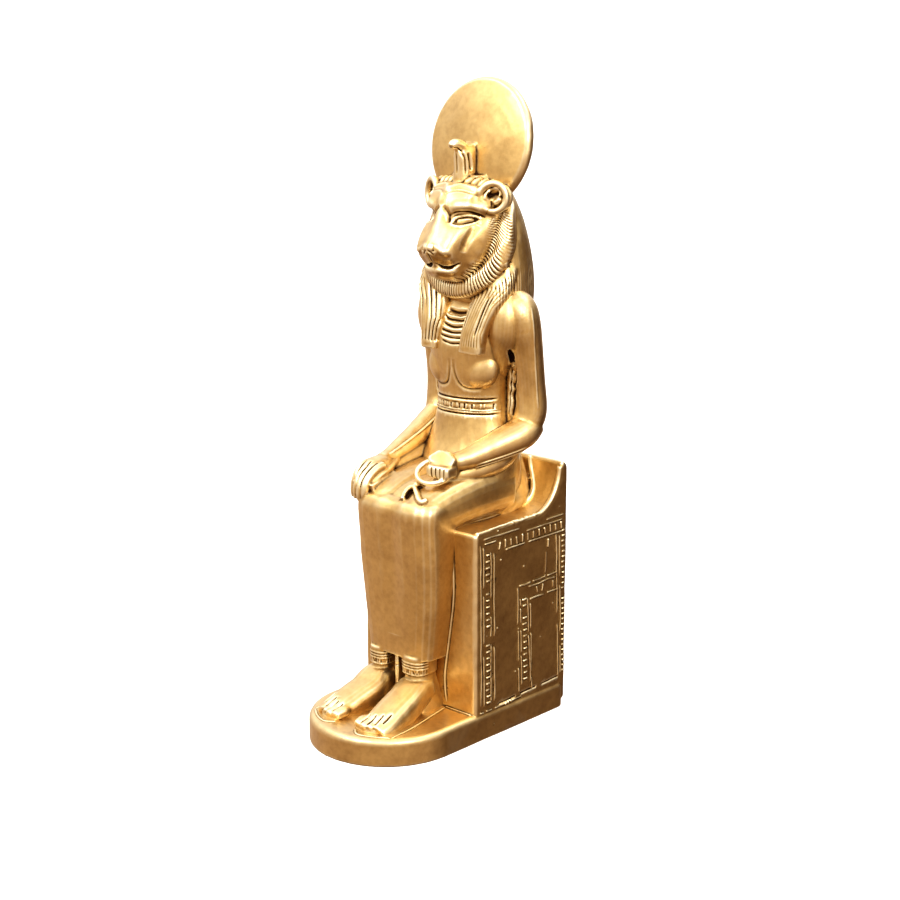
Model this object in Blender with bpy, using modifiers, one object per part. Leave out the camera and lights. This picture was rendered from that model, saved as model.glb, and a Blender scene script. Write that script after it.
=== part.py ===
# Seated lioness goddess, cast in one piece with her throne and plinth
#
# The origin is the middle of the underside. She faces -Y, +X is her left, +Z is up.
import math

import bmesh
import bpy
from mathutils import Matrix, Vector

MM = 0.001

# Plinth and throne, in metres
PLINTH_LENGTH = 40.0 * MM
PLINTH_WIDTH = 24.0 * MM
PLINTH_HEIGHT = 4.2 * MM
PLINTH_EDGE = 0.9 * MM
THRONE_DEPTH = 21.2 * MM
THRONE_EDGE = 0.45 * MM
BACK_RISE = 7.6 * MM
BACK_THICKNESS = 1.6 * MM
BACK_SWEEP = 6.4 * MM

# Relief on the throne's sides, in metres
BORDER_WIDTH = 2.7 * MM
BORDER_MARGIN = 0.8 * MM
FILLET_WIDTH = 0.34 * MM
FILLET_HEIGHT = 0.26 * MM
DOOR_DEPTH = 10.4 * MM
DOOR_HEIGHT = 17.5 * MM

# The figure, from the soles to the top of the sun disc, in metres
FIGURE_HEIGHT = 93.8 * MM

# The figure is shaped at the size of the first casting, in clay millimetres from the
# middle of its underside, and everything in it is a share of the figure's height.
CLAY_FIGURE_HEIGHT = 93.8
CLAY_SOLE = 4.2
CLAY_SEAT = 32.6
CLAY_THRONE_FRONT = -1.2
UNIT = FIGURE_HEIGHT / CLAY_FIGURE_HEIGHT

SEAT_HEIGHT = PLINTH_HEIGHT + (CLAY_SEAT - CLAY_SOLE) * UNIT
THRONE_BACK = PLINTH_LENGTH / 2
THRONE_FRONT = THRONE_BACK - THRONE_DEPTH

DISC_LEAN = 10.0
CLAY_VOXEL = 0.34
CLAY_SMOOTHING = 5
FIGURE_TRIANGLES = 9400
SECTION_SIDES = 28
SIDES = (-1, 1)


def remove_everything():
    for obj in list(bpy.data.objects):
        bpy.data.objects.remove(obj)


def section(bm, centre, across, upward, squareness=2.0):
    """A closed ring of edges round centre, an ellipse at squareness 2 and boxier above."""
    ring = bmesh.ops.create_circle(bm, segments=SECTION_SIDES, radius=1.0)["verts"]
    for vert in ring:
        c, s = vert.co.x, vert.co.y
        reach = (abs(c) ** squareness + abs(s) ** squareness) ** (-1 / squareness)
        vert.co = Vector(centre) + (Vector(across) * c + Vector(upward) * s) * reach
    return list({edge for vert in ring for edge in vert.link_edges})


def loft(bm, rings):
    """Skins ring after ring and closes both ends."""
    for one, two in zip(rings, rings[1:]):
        bmesh.ops.bridge_loops(bm, edges=one + two)
    bmesh.ops.edgeloop_fill(bm, edges=rings[0])
    bmesh.ops.edgeloop_fill(bm, edges=rings[-1])


def column(bm, stations, x=0.0, turn=0.0):
    """An upright form. A station is height, x, y, half width, half depth, squareness."""
    across, upward = Vector((math.cos(turn), math.sin(turn), 0)), Vector((-math.sin(turn), math.cos(turn), 0))
    loft(bm, [
        section(bm, (x + dx, y, z), across * half_width, upward * half_depth, squareness)
        for z, dx, y, half_width, half_depth, squareness in stations
    ])


def limb(bm, stations, flat=1.0, squareness=2.0):
    """A round form along a line of points. A station is x, y, z, radius; flat squashes it in height."""
    points = [Vector(station[:3]) for station in stations]
    rings = []
    for i, point in enumerate(points):
        along = (points[min(i + 1, len(points) - 1)] - points[max(i - 1, 0)]).normalized()
        across = along.cross(Vector((0, 0, 1)))
        if across.length < 0.2:
            across = along.cross(Vector((0, 1, 0)))
        across.normalize()
        upward = across.cross(along)
        radius = stations[i][3]
        rings.append(section(bm, point, across * radius, upward * radius * flat, squareness))
    loft(bm, rings)


def ball(bm, centre, radii, turn=(0, 0, 0)):
    """An ellipsoid, turned about X, then Y, then Z, in degrees."""
    rotation = Matrix.Identity(4)
    for angle, axis in zip(turn, "XYZ"):
        rotation = Matrix.Rotation(math.radians(angle), 4, axis) @ rotation
    placed = Matrix.Translation(centre) @ rotation @ Matrix.Diagonal((*radii, 1))
    bmesh.ops.create_uvsphere(bm, u_segments=24, v_segments=14, radius=1.0, matrix=placed)


def block(bm, centre, size, turn=(0, 0, 0)):
    """A box, turned about X, then Y, then Z, in degrees."""
    rotation = Matrix.Identity(4)
    for angle, axis in zip(turn, "XYZ"):
        rotation = Matrix.Rotation(math.radians(angle), 4, axis) @ rotation
    placed = Matrix.Translation(centre) @ rotation @ Matrix.Diagonal((*size, 1))
    bmesh.ops.create_cube(bm, size=1.0, matrix=placed)


def hoop(bm, centre, radii, normal, thickness, steps=28):
    """A ring of round section in the plane across normal, radii being its two half widths."""
    normal = Vector(normal).normalized()
    across = normal.cross(Vector((0, 0, 1)))
    if across.length < 0.2:
        across = Vector((1, 0, 0))
    across.normalize()
    upward = across.cross(normal)
    rings = []
    for i in range(steps):
        angle = 2 * math.pi * i / steps
        out = across * math.cos(angle) * radii[0] + upward * math.sin(angle) * radii[1]
        rings.append(section(bm, Vector(centre) + out, out.normalized() * thickness, normal * thickness))
    for i in range(steps):
        bmesh.ops.bridge_loops(bm, edges=rings[i] + rings[(i + 1) % steps])


def torso(bm):
    column(bm, (
        (31.0, 0, 9.0, 6.2, 7.4, 2.8),
        (36.0, 0, 9.8, 7.6, 7.2, 2.6),
        (40.0, 0, 10.5, 8.0, 6.4, 2.4),
        (44.0, 0, 11.0, 7.2, 5.3, 2.2),
        (48.0, 0, 11.1, 6.2, 4.6, 2.2),
        (51.5, 0, 11.0, 5.9, 4.4, 2.2),
        (55.0, 0, 10.8, 6.5, 4.7, 2.3),
        (59.0, 0, 11.0, 7.3, 4.9, 2.4),
        (62.5, 0, 11.7, 7.7, 4.7, 2.4),
        (65.0, 0, 12.1, 7.2, 4.0, 2.2),
        (67.0, 0, 12.4, 5.0, 3.2, 2.0),
    ))
    for side in SIDES:
        ball(bm, (side * 3.2, 8.6, 55.6), (3.2, 2.5, 3.7), turn=(-8, 0, 0))


def legs(bm):
    """The thighs along the seat and the shins down to the hem, under one tight dress."""
    for side in SIDES:
        limb(bm, (
            (side * 4.0, 12.0, 36.6, 4.1),
            (side * 4.0, 6.0, 36.5, 4.1),
            (side * 4.0, 1.0, 35.9, 3.9),
            (side * 3.9, -3.0, 35.1, 3.6),
            (side * 3.8, -5.0, 34.4, 3.0),
        ), flat=1.0, squareness=2.6)
        lean = -0.35
        column(bm, tuple(
            (z, side * outer / 2 + lean, (front + back) / 2, outer / 2 + 0.3, (back - front) / 2, 3.0)
            for z, outer, front, back in (
                (36.7, 7.0, -7.0, 0.4),
                (35.4, 7.5, -7.4, 0.4),
                (33.0, 7.6, -7.3, 0.8),
                (27.0, 7.5, -7.0, 1.2),
                (21.0, 7.1, -6.6, 1.6),
                (16.0, 6.4, -6.4, 2.0),
                (12.3, 6.0, -6.2, 2.0),
            )
        ))
    column(bm, (
        (37.6, -0.1, 1.6, 2.4, 6.4, 3.0),
        (33.0, -0.2, -2.0, 2.6, 4.6, 3.0),
        (12.3, -0.2, -1.8, 2.4, 4.0, 3.0),
    ))


def feet(bm):
    for side in SIDES:
        # The anklet under the hem, then the ankle
        column(bm, (
            (12.8, side * 3.0, -2.3, 2.5, 3.5, 2.6),
            (10.0, side * 2.9, -2.4, 2.4, 3.5, 2.6),
        ))
        column(bm, (
            (11.0, side * 2.9, -2.3, 2.2, 3.3, 2.4),
            (8.0, side * 3.0, -2.6, 2.3, 3.6, 2.4),
            (3.6, side * 3.2, -2.4, 2.6, 4.0, 2.4),
        ))
        limb(bm, (
            (side * 3.0, -2.6, 6.6, 2.8),
            (side * 3.2, -5.6, 6.8, 2.7),
            (side * 3.9, -8.8, 6.0, 2.8),
            (side * 4.8, -12.0, 5.1, 3.0),
            (side * 5.2, -14.0, 4.6, 3.0),
        ), flat=0.76)
        for toe in range(5):
            share = toe / 4
            x = 3.0 + 4.6 * share
            tip = -17.4 + 2.6 * share ** 1.5
            radius = 0.85 - 0.28 * share
            limb(bm, (
                (side * (x - 0.3), tip + 4.2, 4.9, radius),
                (side * (x - 0.05), tip + 1.8, 4.95, radius),
                (side * x, tip + 0.5, 4.8, radius * 0.95),
                (side * x, tip, 4.7, radius * 0.6),
            ), flat=0.95)
    block(bm, (0, 0.4, 7.4), (6.0, 6.4, 7.6))


def arms(bm):
    for side in SIDES:
        limb(bm, (
            (side * 7.0, 12.2, 65.0, 1.9),
            (side * 8.1, 12.3, 63.8, 2.6),
            (side * 8.8, 12.6, 61.5, 2.8),
            (side * 9.0, 13.1, 57.0, 2.5),
            (side * 9.15, 13.7, 52.0, 2.4),
            (side * 9.2, 13.8, 48.5, 2.5),
            (side * 8.9, 12.9, 46.1, 2.35),
        ))
        column(bm, (
            (44.0, side * 7.4, 12.6, 1.6, 1.5, 2.0),
            (52.0, side * 7.2, 12.8, 1.5, 1.3, 2.0),
            (60.0, side * 7.0, 12.4, 1.7, 1.5, 2.0),
        ))
    # Her left forearm lies across the thigh to the fist
    limb(bm, (
        (9.3, 14.1, 46.8, 2.2),
        (9.1, 12.0, 45.5, 2.5),
        (7.9, 8.6, 44.2, 2.3),
        (6.2, 5.6, 43.1, 2.0),
        (4.8, 3.0, 42.4, 1.7),
        (4.1, 1.6, 42.1, 1.6),
    ))
    # Her right forearm runs straight to the knee
    limb(bm, (
        (-9.1, 14.0, 46.8, 2.2),
        (-8.9, 11.8, 45.3, 2.25),
        (-8.7, 8.0, 43.4, 2.0),
        (-8.5, 4.0, 41.7, 1.75),
        (-8.3, 1.0, 40.6, 1.5),
        (-8.2, -0.6, 40.2, 1.5),
    ))
    # The casting is filled in under both
    limb(bm, ((7.8, 9.0, 41.8, 1.9), (6.2, 5.4, 40.8, 1.8), (4.4, 1.6, 40.0, 1.7), (3.8, -0.8, 39.6, 1.4)))
    limb(bm, ((-7.4, 10.0, 41.5, 1.6), (-7.3, 5.0, 40.0, 1.5), (-7.2, 0.0, 39.0, 1.2)))


def hands(bm):
    # The fist, its fingers curled down in front
    limb(bm, (
        (5.0, 2.2, 42.3, 1.6),
        (4.4, 1.0, 42.4, 2.0),
        (3.4, -0.5, 42.2, 2.1),
        (2.7, -1.5, 41.9, 1.7),
    ), flat=0.9, squareness=3.2)
    limb(bm, (
        (5.6, -0.6, 40.8, 1.2),
        (4.4, -1.5, 40.9, 1.5),
        (2.9, -2.2, 40.8, 1.5),
        (1.8, -2.2, 40.6, 1.2),
    ), flat=1.1, squareness=3.2)
    # The loop of the ankh round the fist, and its arms on the knee
    hoop(bm, (3.5, -1.3, 40.9), (3.0, 2.5), (0.1, -0.75, 0.85), 0.45)
    limb(bm, ((3.4, -3.4, 39.3, 0.6), (3.3, -5.2, 38.5, 0.6), (3.3, -6.2, 37.9, 0.5)), flat=0.8)
    limb(bm, ((1.3, -5.4, 38.2, 0.75), (3.3, -4.8, 38.8, 0.5), (5.3, -4.2, 38.4, 0.75)), flat=0.8)
    # The flat hand, its fingers bent over the knee
    ball(bm, (-8.0, -2.0, 40.0), (2.0, 3.0, 1.45), turn=(8, 0, 0))
    block(bm, (-6.9, -3.2, 37.6), (4.4, 5.2, 3.6), turn=(14, 0, 0))
    for finger in range(4):
        x = -9.3 + 1.05 * finger
        reach = (0.0, 0.5, 0.8, 0.8)[finger]
        limb(bm, (
            (x, -2.4, 40.4, 0.66),
            (x, -4.1, 40.0, 0.66),
            (x, -5.2 - reach, 38.6, 0.63),
            (x, -5.7 - reach, 37.0, 0.6),
            (x, -5.7 - reach, 35.6, 0.45),
        ))
    limb(bm, ((-6.5, 0.0, 40.4, 0.85), (-5.6, -2.2, 40.0, 0.8), (-5.3, -4.2, 39.3, 0.65), (-5.3, -5.0, 39.0, 0.4)))


def wig(bm):
    column(bm, (
        (60.2, 0, 14.8, 7.0, 2.6, 2.3),
        (63.0, 0, 13.6, 8.1, 4.6, 2.4),
        (66.5, 0, 12.2, 8.8, 6.4, 2.4),
        (70.0, 0, 11.7, 8.6, 7.0, 2.3),
        (74.0, 0, 11.4, 8.1, 6.7, 2.2),
        (78.0, 0, 11.3, 7.0, 6.0, 2.1),
        (81.5, 0, 11.3, 5.4, 4.7, 2.0),
        (83.6, 0, 11.3, 3.6, 3.2, 2.0),
    ))
    for side in SIDES:
        column(bm, tuple((z, side * x, y, width, depth, 4.5) for z, x, y, width, depth in (
            (69.5, 5.0, 9.0, 2.7, 1.5),
            (66.0, 4.6, 7.7, 2.4, 1.25),
            (63.0, 4.4, 7.1, 2.25, 1.1),
            (60.0, 4.4, 6.6, 2.15, 1.05),
            (57.5, 4.55, 6.4, 2.0, 1.0),
        )))


def head(bm):
    column(bm, (
        (67.9, 0, 8.4, 2.4, 3.0, 2.2),
        (69.2, 0, 8.0, 3.2, 4.8, 2.3),
        (71.0, 0, 8.2, 4.0, 5.2, 2.4),
        (73.0, 0, 8.6, 4.8, 5.0, 2.4),
        (75.0, 0, 9.0, 5.1, 4.7, 2.3),
        (77.0, 0, 9.4, 5.2, 4.6, 2.2),
        (79.0, 0, 9.8, 5.5, 4.5, 2.3),
        (81.0, 0, 10.2, 5.2, 4.1, 2.3),
        (82.6, 0, 10.6, 3.6, 2.6, 2.2),
    ))
    # The muzzle
    column(bm, (
        (71.0, 0, 5.6, 2.7, 3.1, 2.4),
        (71.9, 0, 5.4, 3.1, 4.2, 2.4),
        (73.2, 0, 5.2, 3.4, 4.7, 2.4),
        (74.4, 0, 5.4, 3.4, 4.9, 2.4),
        (76.0, 0, 6.0, 3.2, 4.6, 2.4),
        (77.4, 0, 6.6, 2.8, 4.4, 2.4),
        (78.6, 0, 7.0, 2.1, 3.6, 2.4),
    ))
    # The long flat nose, rising into the brow
    rings = []
    for y, z, width, thick in (
        (0.9, 73.4, 1.5, 0.7),
        (1.9, 75.0, 1.8, 1.4),
        (3.4, 76.8, 1.9, 1.8),
        (5.6, 78.6, 1.9, 2.0),
        (8.0, 80.6, 2.6, 2.2),
    ):
        rings.append(section(bm, (0, y, z), (width, 0, 0), Vector((0, -0.8, 0.6)) * thick, 2.8))
    loft(bm, rings)
    for side in SIDES:
        ball(bm, (side * 2.5, 7.3, 80.7), (2.6, 1.9, 1.9), turn=(-30, 0, side * 14))
        ball(bm, (side * 3.4, 6.4, 79.3), (2.0, 1.2, 0.6), turn=(0, side * 4, side * 38))
        ball(bm, (side * 3.4, 6.6, 77.9), (1.4, 0.8, 0.6), turn=(0, 0, side * 44))
    # Chin and lower lip
    ball(bm, (0, 5.2, 70.3), (3.1, 3.2, 1.7), turn=(12, 0, 0))


def ears(bm):
    for side in SIDES:
        facing = (side * 0.56, -0.82, 0.08)
        hoop(bm, (side * 6.5, 8.5, 81.3), (1.95, 2.05), facing, 0.6)
        ball(bm, (side * 6.2, 9.2, 81.2), (2.1, 0.9, 2.2), turn=(0, 0, side * 34))


def ruff(bm):
    """The mane round the cheeks, ending in a fringed collar under the chin."""
    for side in SIDES:
        limb(bm, (
            (side * 6.0, 9.2, 79.6, 1.3),
            (side * 6.6, 9.0, 77.0, 1.5),
            (side * 6.7, 8.9, 73.6, 1.6),
            (side * 5.5, 8.1, 70.6, 1.5),
            (side * 3.6, 6.9, 68.2, 1.4),
            (side * 1.4, 6.4, 67.1, 1.35),
            (side * -0.6, 6.4, 66.9, 1.35),
        ), squareness=2.4)


def sun_disc(bm):
    lean = Matrix.Rotation(math.radians(-DISC_LEAN), 4, "X")
    placed = Matrix.Translation((0, 12.1, CLAY_SOLE + CLAY_FIGURE_HEIGHT - 9.69)) @ lean
    rings = []
    for depth, radius in (
        (-1.9, 2.5), (-1.7, 5.0), (-1.2, 7.3), (-0.6, 8.9), (-0.1, 9.65),
        (0.2, 9.8), (0.95, 9.8), (1.2, 9.6), (1.5, 7.5), (1.7, 4.0),
    ):
        across, upward = Vector((radius, 0, 0)), placed.to_3x3() @ Vector((0, 0, radius))
        rings.append(section(bm, placed @ Vector((0, depth, 0)), across, upward))
    loft(bm, rings)


def cobra(bm):
    """The uraeus rearing on the brow, its back against the disc."""
    column(bm, (
        (82.0, 0, 9.5, 1.6, 2.5, 2.6),
        (84.5, 0, 9.6, 1.35, 2.2, 2.6),
        (87.0, 0, 9.9, 1.25, 1.9, 2.6),
        (88.6, 0, 10.4, 1.1, 1.4, 2.4),
        (89.6, 0, 11.0, 0.8, 0.9, 2.0),
    ))
    limb(bm, ((0, 9.8, 87.4, 1.0), (0, 8.7, 88.6, 0.85), (0, 7.7, 88.8, 0.75), (0, 7.0, 88.2, 0.5)))


def clay_object(name, makers):
    bm = bmesh.new()
    for make in makers:
        make(bm)
    bmesh.ops.recalc_face_normals(bm, faces=bm.faces)
    mesh = bpy.data.meshes.new(name)
    bm.to_mesh(mesh)
    bm.free()
    return bpy.data.objects.new(name, mesh)


def evaluated_mesh(obj):
    graph = bpy.context.evaluated_depsgraph_get()
    graph.update()
    return bpy.data.meshes.new_from_object(obj.evaluated_get(graph))


def figure_mesh(collection):
    """One closed skin over all the clay, with as few triangles as keep its form."""
    clay = clay_object("clay", (torso, legs, feet, arms, hands, wig, head, ears, ruff, sun_disc, cobra))
    collection.objects.link(clay)
    skin = clay.modifiers.new("skin", "REMESH")
    skin.mode = "VOXEL"
    skin.voxel_size = CLAY_VOXEL
    smooth = clay.modifiers.new("smooth", "SMOOTH")
    smooth.factor = 0.5
    smooth.iterations = CLAY_SMOOTHING
    clay.data = evaluated_mesh(clay)
    clay.modifiers.clear()
    clay.data.calc_loop_triangles()
    fewer = clay.modifiers.new("fewer", "DECIMATE")
    fewer.ratio = FIGURE_TRIANGLES / len(clay.data.loop_triangles)
    fewer.use_collapse_triangulate = True
    mesh = evaluated_mesh(clay)
    bpy.data.objects.remove(clay)
    # Smoothing takes a little off the top, which the upward scale gives back
    top = max(vert.co.z for vert in mesh.vertices)
    upward = FIGURE_HEIGHT / (top - CLAY_SOLE)
    on_plinth = Matrix.Translation((0, THRONE_FRONT, PLINTH_HEIGHT))
    from_clay = Matrix.Translation((0, -CLAY_THRONE_FRONT, -CLAY_SOLE))
    mesh.transform(on_plinth @ Matrix.Diagonal((UNIT, UNIT, upward, 1)) @ from_clay)
    return mesh


def extruded(bm, outline, direction):
    """A flat outline pulled along direction into a closed solid."""
    face = bm.faces.new([bm.verts.new(point) for point in outline])
    pulled = bmesh.ops.extrude_face_region(bm, geom=[face])["geom"]
    for vert in (part for part in pulled if isinstance(part, bmesh.types.BMVert)):
        vert.co += Vector(direction)
    bmesh.ops.recalc_face_normals(bm, faces=bm.faces)


def plinth_mesh():
    """Square behind and half round in front, with a softened upper edge."""
    bm = bmesh.new()
    radius = PLINTH_WIDTH / 2
    centre = -PLINTH_LENGTH / 2 + radius
    arc = [math.pi + math.pi * i / 32 for i in range(33)]
    outline = [(radius * math.cos(a), centre + radius * math.sin(a), 0) for a in arc]
    outline += [(radius, PLINTH_LENGTH / 2, 0), (-radius, PLINTH_LENGTH / 2, 0)]
    extruded(bm, outline, (0, 0, PLINTH_HEIGHT))
    rim = [
        edge for edge in bm.edges
        if all(abs(vert.co.z - PLINTH_HEIGHT) < 1e-7 for vert in edge.verts)
    ]
    bmesh.ops.bevel(bm, geom=rim, offset=PLINTH_EDGE, segments=3, profile=0.5, affect="EDGES")
    mesh = bpy.data.meshes.new("plinth")
    bm.to_mesh(mesh)
    bm.free()
    return mesh


def throne_mesh():
    """A block seat with a low back whose front sweeps up in a hollow curve."""
    bm = bmesh.new()
    back_top = SEAT_HEIGHT + BACK_RISE
    sweep_end = THRONE_BACK - BACK_THICKNESS
    outline = [(THRONE_FRONT, 0), (THRONE_FRONT, SEAT_HEIGHT)]
    for i in range(9):
        angle = math.pi / 2 * i / 8
        y = sweep_end - BACK_SWEEP + BACK_SWEEP * math.sin(angle)
        outline.append((y, SEAT_HEIGHT + BACK_RISE * (1 - math.cos(angle))))
    outline += [(THRONE_BACK, back_top), (THRONE_BACK, 0)]
    half = PLINTH_WIDTH / 2 - FILLET_HEIGHT
    extruded(bm, [(-half, y, z) for y, z in outline], (2 * half, 0, 0))
    sharp = [
        edge for edge in bm.edges
        if edge.calc_face_angle(0) > math.radians(40) and min(v.co.z for v in edge.verts) > PLINTH_HEIGHT
    ]
    bmesh.ops.bevel(bm, geom=sharp, offset=THRONE_EDGE, segments=2, profile=0.5, affect="EDGES")
    mesh = bpy.data.meshes.new("throne")
    bm.to_mesh(mesh)
    bm.free()
    return mesh


def panel_relief_mesh():
    """Raised fillets framing each side of the throne, with a smaller door low at the back."""
    bm = bmesh.new()
    front, back = THRONE_FRONT + BORDER_MARGIN, THRONE_BACK - BORDER_MARGIN
    low, high = PLINTH_HEIGHT + BORDER_MARGIN, SEAT_HEIGHT - BORDER_MARGIN
    door_front, door_top = back - DOOR_DEPTH, low + DOOR_HEIGHT

    def bar(y0, z0, y1, z1):
        size = (2 * FILLET_HEIGHT, abs(y1 - y0) + FILLET_WIDTH, abs(z1 - z0) + FILLET_WIDTH)
        for side in SIDES:
            place = (side * (PLINTH_WIDTH / 2 - FILLET_HEIGHT), (y0 + y1) / 2, (z0 + z1) / 2)
            block(bm, place, size)

    def frame_of(y0, z0, y1, z1):
        bar(y0, z0, y0, z1)
        bar(y0, z1, y1, z1)
        bar(y1, z0, y1, z1)
        bar(y0, z0, y1, z0)

    frame_of(front, low, back, high)
    frame_of(front + BORDER_WIDTH, low + BORDER_MARGIN, back - BORDER_WIDTH, high - BORDER_WIDTH)
    bar(door_front, low, door_front, door_top)
    bar(door_front, door_top, back - BORDER_WIDTH, door_top)
    bar(door_front + BORDER_WIDTH, low, door_front + BORDER_WIDTH, door_top - BORDER_WIDTH)
    bar(door_front + BORDER_WIDTH, door_top - BORDER_WIDTH, back - BORDER_WIDTH, door_top - BORDER_WIDTH)
    mesh = bpy.data.meshes.new("relief")
    bm.to_mesh(mesh)
    bm.free()
    return mesh


def gold_paint():
    material = bpy.data.materials.new("gold painted resin")
    material.use_nodes = True
    shader = material.node_tree.nodes["Principled BSDF"]
    shader.inputs["Base Color"].default_value = (0.72, 0.42, 0.13, 1)
    shader.inputs["Metallic"].default_value = 0.9
    shader.inputs["Roughness"].default_value = 0.35
    return material


def union(target, other):
    joined = target.modifiers.new("join " + other.name, "BOOLEAN")
    joined.operation = "UNION"
    joined.solver = "EXACT"
    joined.use_self = True
    joined.object = other


def build():
    remove_everything()
    scene = bpy.context.scene.collection
    parts = bpy.data.collections.new("lioness goddess figurine")
    helpers = bpy.data.collections.new("shapes joined into the casting")
    scene.children.link(parts)
    scene.children.link(helpers)

    figurine = bpy.data.objects.new("figurine", plinth_mesh())
    figurine.data.materials.append(gold_paint())
    parts.objects.link(figurine)
    for name, mesh in (("throne", throne_mesh()), ("relief", panel_relief_mesh()), ("figure", figure_mesh(helpers))):
        shape = bpy.data.objects.new(name, mesh)
        shape.hide_render = True
        shape.display_type = "WIRE"
        helpers.objects.link(shape)
        union(figurine, shape)


build()
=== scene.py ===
# Seated lioness goddess, a small resin casting in gold paint: its sculpted surface and finish
import math

import bmesh
import bpy
import numpy as np
from mathutils import Matrix, Vector
from mathutils.bvhtree import BVHTree


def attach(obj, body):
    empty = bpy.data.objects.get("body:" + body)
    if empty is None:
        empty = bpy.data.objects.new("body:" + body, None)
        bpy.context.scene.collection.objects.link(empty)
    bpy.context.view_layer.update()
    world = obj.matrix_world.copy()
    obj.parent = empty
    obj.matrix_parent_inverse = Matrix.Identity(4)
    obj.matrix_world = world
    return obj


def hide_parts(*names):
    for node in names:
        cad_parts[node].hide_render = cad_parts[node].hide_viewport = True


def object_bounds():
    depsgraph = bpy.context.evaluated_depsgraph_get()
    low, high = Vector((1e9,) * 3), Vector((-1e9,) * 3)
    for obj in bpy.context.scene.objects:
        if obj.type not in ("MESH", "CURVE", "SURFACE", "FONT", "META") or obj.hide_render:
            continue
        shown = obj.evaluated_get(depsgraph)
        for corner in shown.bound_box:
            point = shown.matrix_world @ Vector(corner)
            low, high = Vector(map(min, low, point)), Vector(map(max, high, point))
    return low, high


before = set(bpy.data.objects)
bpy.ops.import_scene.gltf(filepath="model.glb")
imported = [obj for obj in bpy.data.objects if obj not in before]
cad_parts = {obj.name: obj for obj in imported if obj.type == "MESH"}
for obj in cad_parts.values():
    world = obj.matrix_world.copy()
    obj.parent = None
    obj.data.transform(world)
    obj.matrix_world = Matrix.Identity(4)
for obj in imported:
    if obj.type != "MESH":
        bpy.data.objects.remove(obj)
cadBox = [list(corner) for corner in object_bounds()]

# Everything is sculpted in millimetres from the middle of the underside, she faces -Y
mm = 0.001
sides = (-1, 1)
inward, down = (0, 1, 0), (0, 0, -1)  # ways in which strokes are pressed onto the surface
undersideRounding = 0.1


# Clay: soft closed forms that overlap until one skin is drawn over them

def eased(stations, steps=6):
    # a smooth run through the stations, each column of numbers by itself
    s = np.array(stations, float)
    s = np.vstack([2 * s[0] - s[1], s, 2 * s[-1] - s[-2]])
    out = []
    for a, b, c, d in zip(s, s[1:], s[2:], s[3:]):
        for t in np.arange(steps) / steps:
            out.append(b + 0.5 * t * (c - a + t * (2 * a - 5 * b + 4 * c - d + t * (3 * (b - c) + d - a))))
    return out + [s[-2]]


def edgesOf(ring):
    # each edge once, in an order that is the same in every run
    return list(dict.fromkeys(edge for vert in ring for edge in vert.link_edges))


def section(bm, centre, across, upward, squareness=2.0, segments=40):
    # a closed ring, an ellipse at squareness 2 and boxier above
    ring = bmesh.ops.create_circle(bm, segments=segments, radius=1.0)["verts"]
    for vert in ring:
        c, s = vert.co.x, vert.co.y
        reach = (abs(c) ** squareness + abs(s) ** squareness) ** (-1 / squareness)
        vert.co = Vector(centre) + (Vector(across) * c + Vector(upward) * s) * reach
    return edgesOf(ring)


def contour(bm, half, z, steps=5):
    # a smooth closed ring at one height, through the points of her left half and their mirror image
    loop = list(half) + [(-x, y) for x, y in half[-2:0:-1]]
    count = len(loop)
    smooth = eased([loop[i % count] for i in range(-1, count + 2)], steps)[steps:steps + count * steps]
    ring = bmesh.ops.create_circle(bm, segments=len(smooth), radius=1.0)["verts"]
    for vert in ring:
        place = round(math.atan2(vert.co.x, -vert.co.y) / (2 * math.pi) * len(smooth)) % len(smooth)
        vert.co = Vector((*smooth[place], z))
    return edgesOf(ring)


def loft(bm, rings):
    for one, two in zip(rings, rings[1:]):
        bmesh.ops.bridge_loops(bm, edges=one + two)
    bmesh.ops.edgeloop_fill(bm, edges=rings[0])
    bmesh.ops.edgeloop_fill(bm, edges=rings[-1])


def column(bm, stations, side=1):
    # upright form: height, x, y, half width, half depth, squareness; side -1 mirrors it
    loft(bm, [
        section(bm, (side * x, y, z), (width, 0, 0), (0, depth, 0), squareness)
        for z, x, y, width, depth, squareness in eased(stations)
    ])


def limb(bm, stations, side=1, flat=1.0, squareness=2.0, steps=6):
    # round form along points: x, y, z, radius; side -1 mirrors it, flat squashes it in height
    stations = eased([(side * x, *rest) for x, *rest in stations], steps)
    points = [Vector(station[:3]) for station in stations]
    rings = []
    for i, point in enumerate(points):
        along = (points[min(i + 1, len(points) - 1)] - points[max(i - 1, 0)]).normalized()
        across = along.cross(Vector((0, 0, 1)))
        if across.length < 0.2:
            across = along.cross(Vector((0, 1, 0)))
        across.normalize()
        radius = stations[i][3]
        rings.append(section(bm, point, across * radius, across.cross(along) * radius * flat, squareness, 28))
    loft(bm, rings)


def turned(centre, size, turn):
    # placed and turned about X, then Y, then Z, in degrees
    rotation = Matrix.Identity(4)
    for angle, axis in zip(turn, "XYZ"):
        rotation = Matrix.Rotation(math.radians(angle), 4, axis) @ rotation
    return Matrix.Translation(centre) @ rotation @ Matrix.Diagonal((*size, 1))


def ball(bm, centre, radii, turn=(0, 0, 0)):
    bmesh.ops.create_uvsphere(bm, u_segments=40, v_segments=24, radius=1.0, matrix=turned(centre, radii, turn))


def block(bm, centre, size, turn=(0, 0, 0)):
    bmesh.ops.create_cube(bm, size=1.0, matrix=turned(centre, size, turn))


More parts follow.
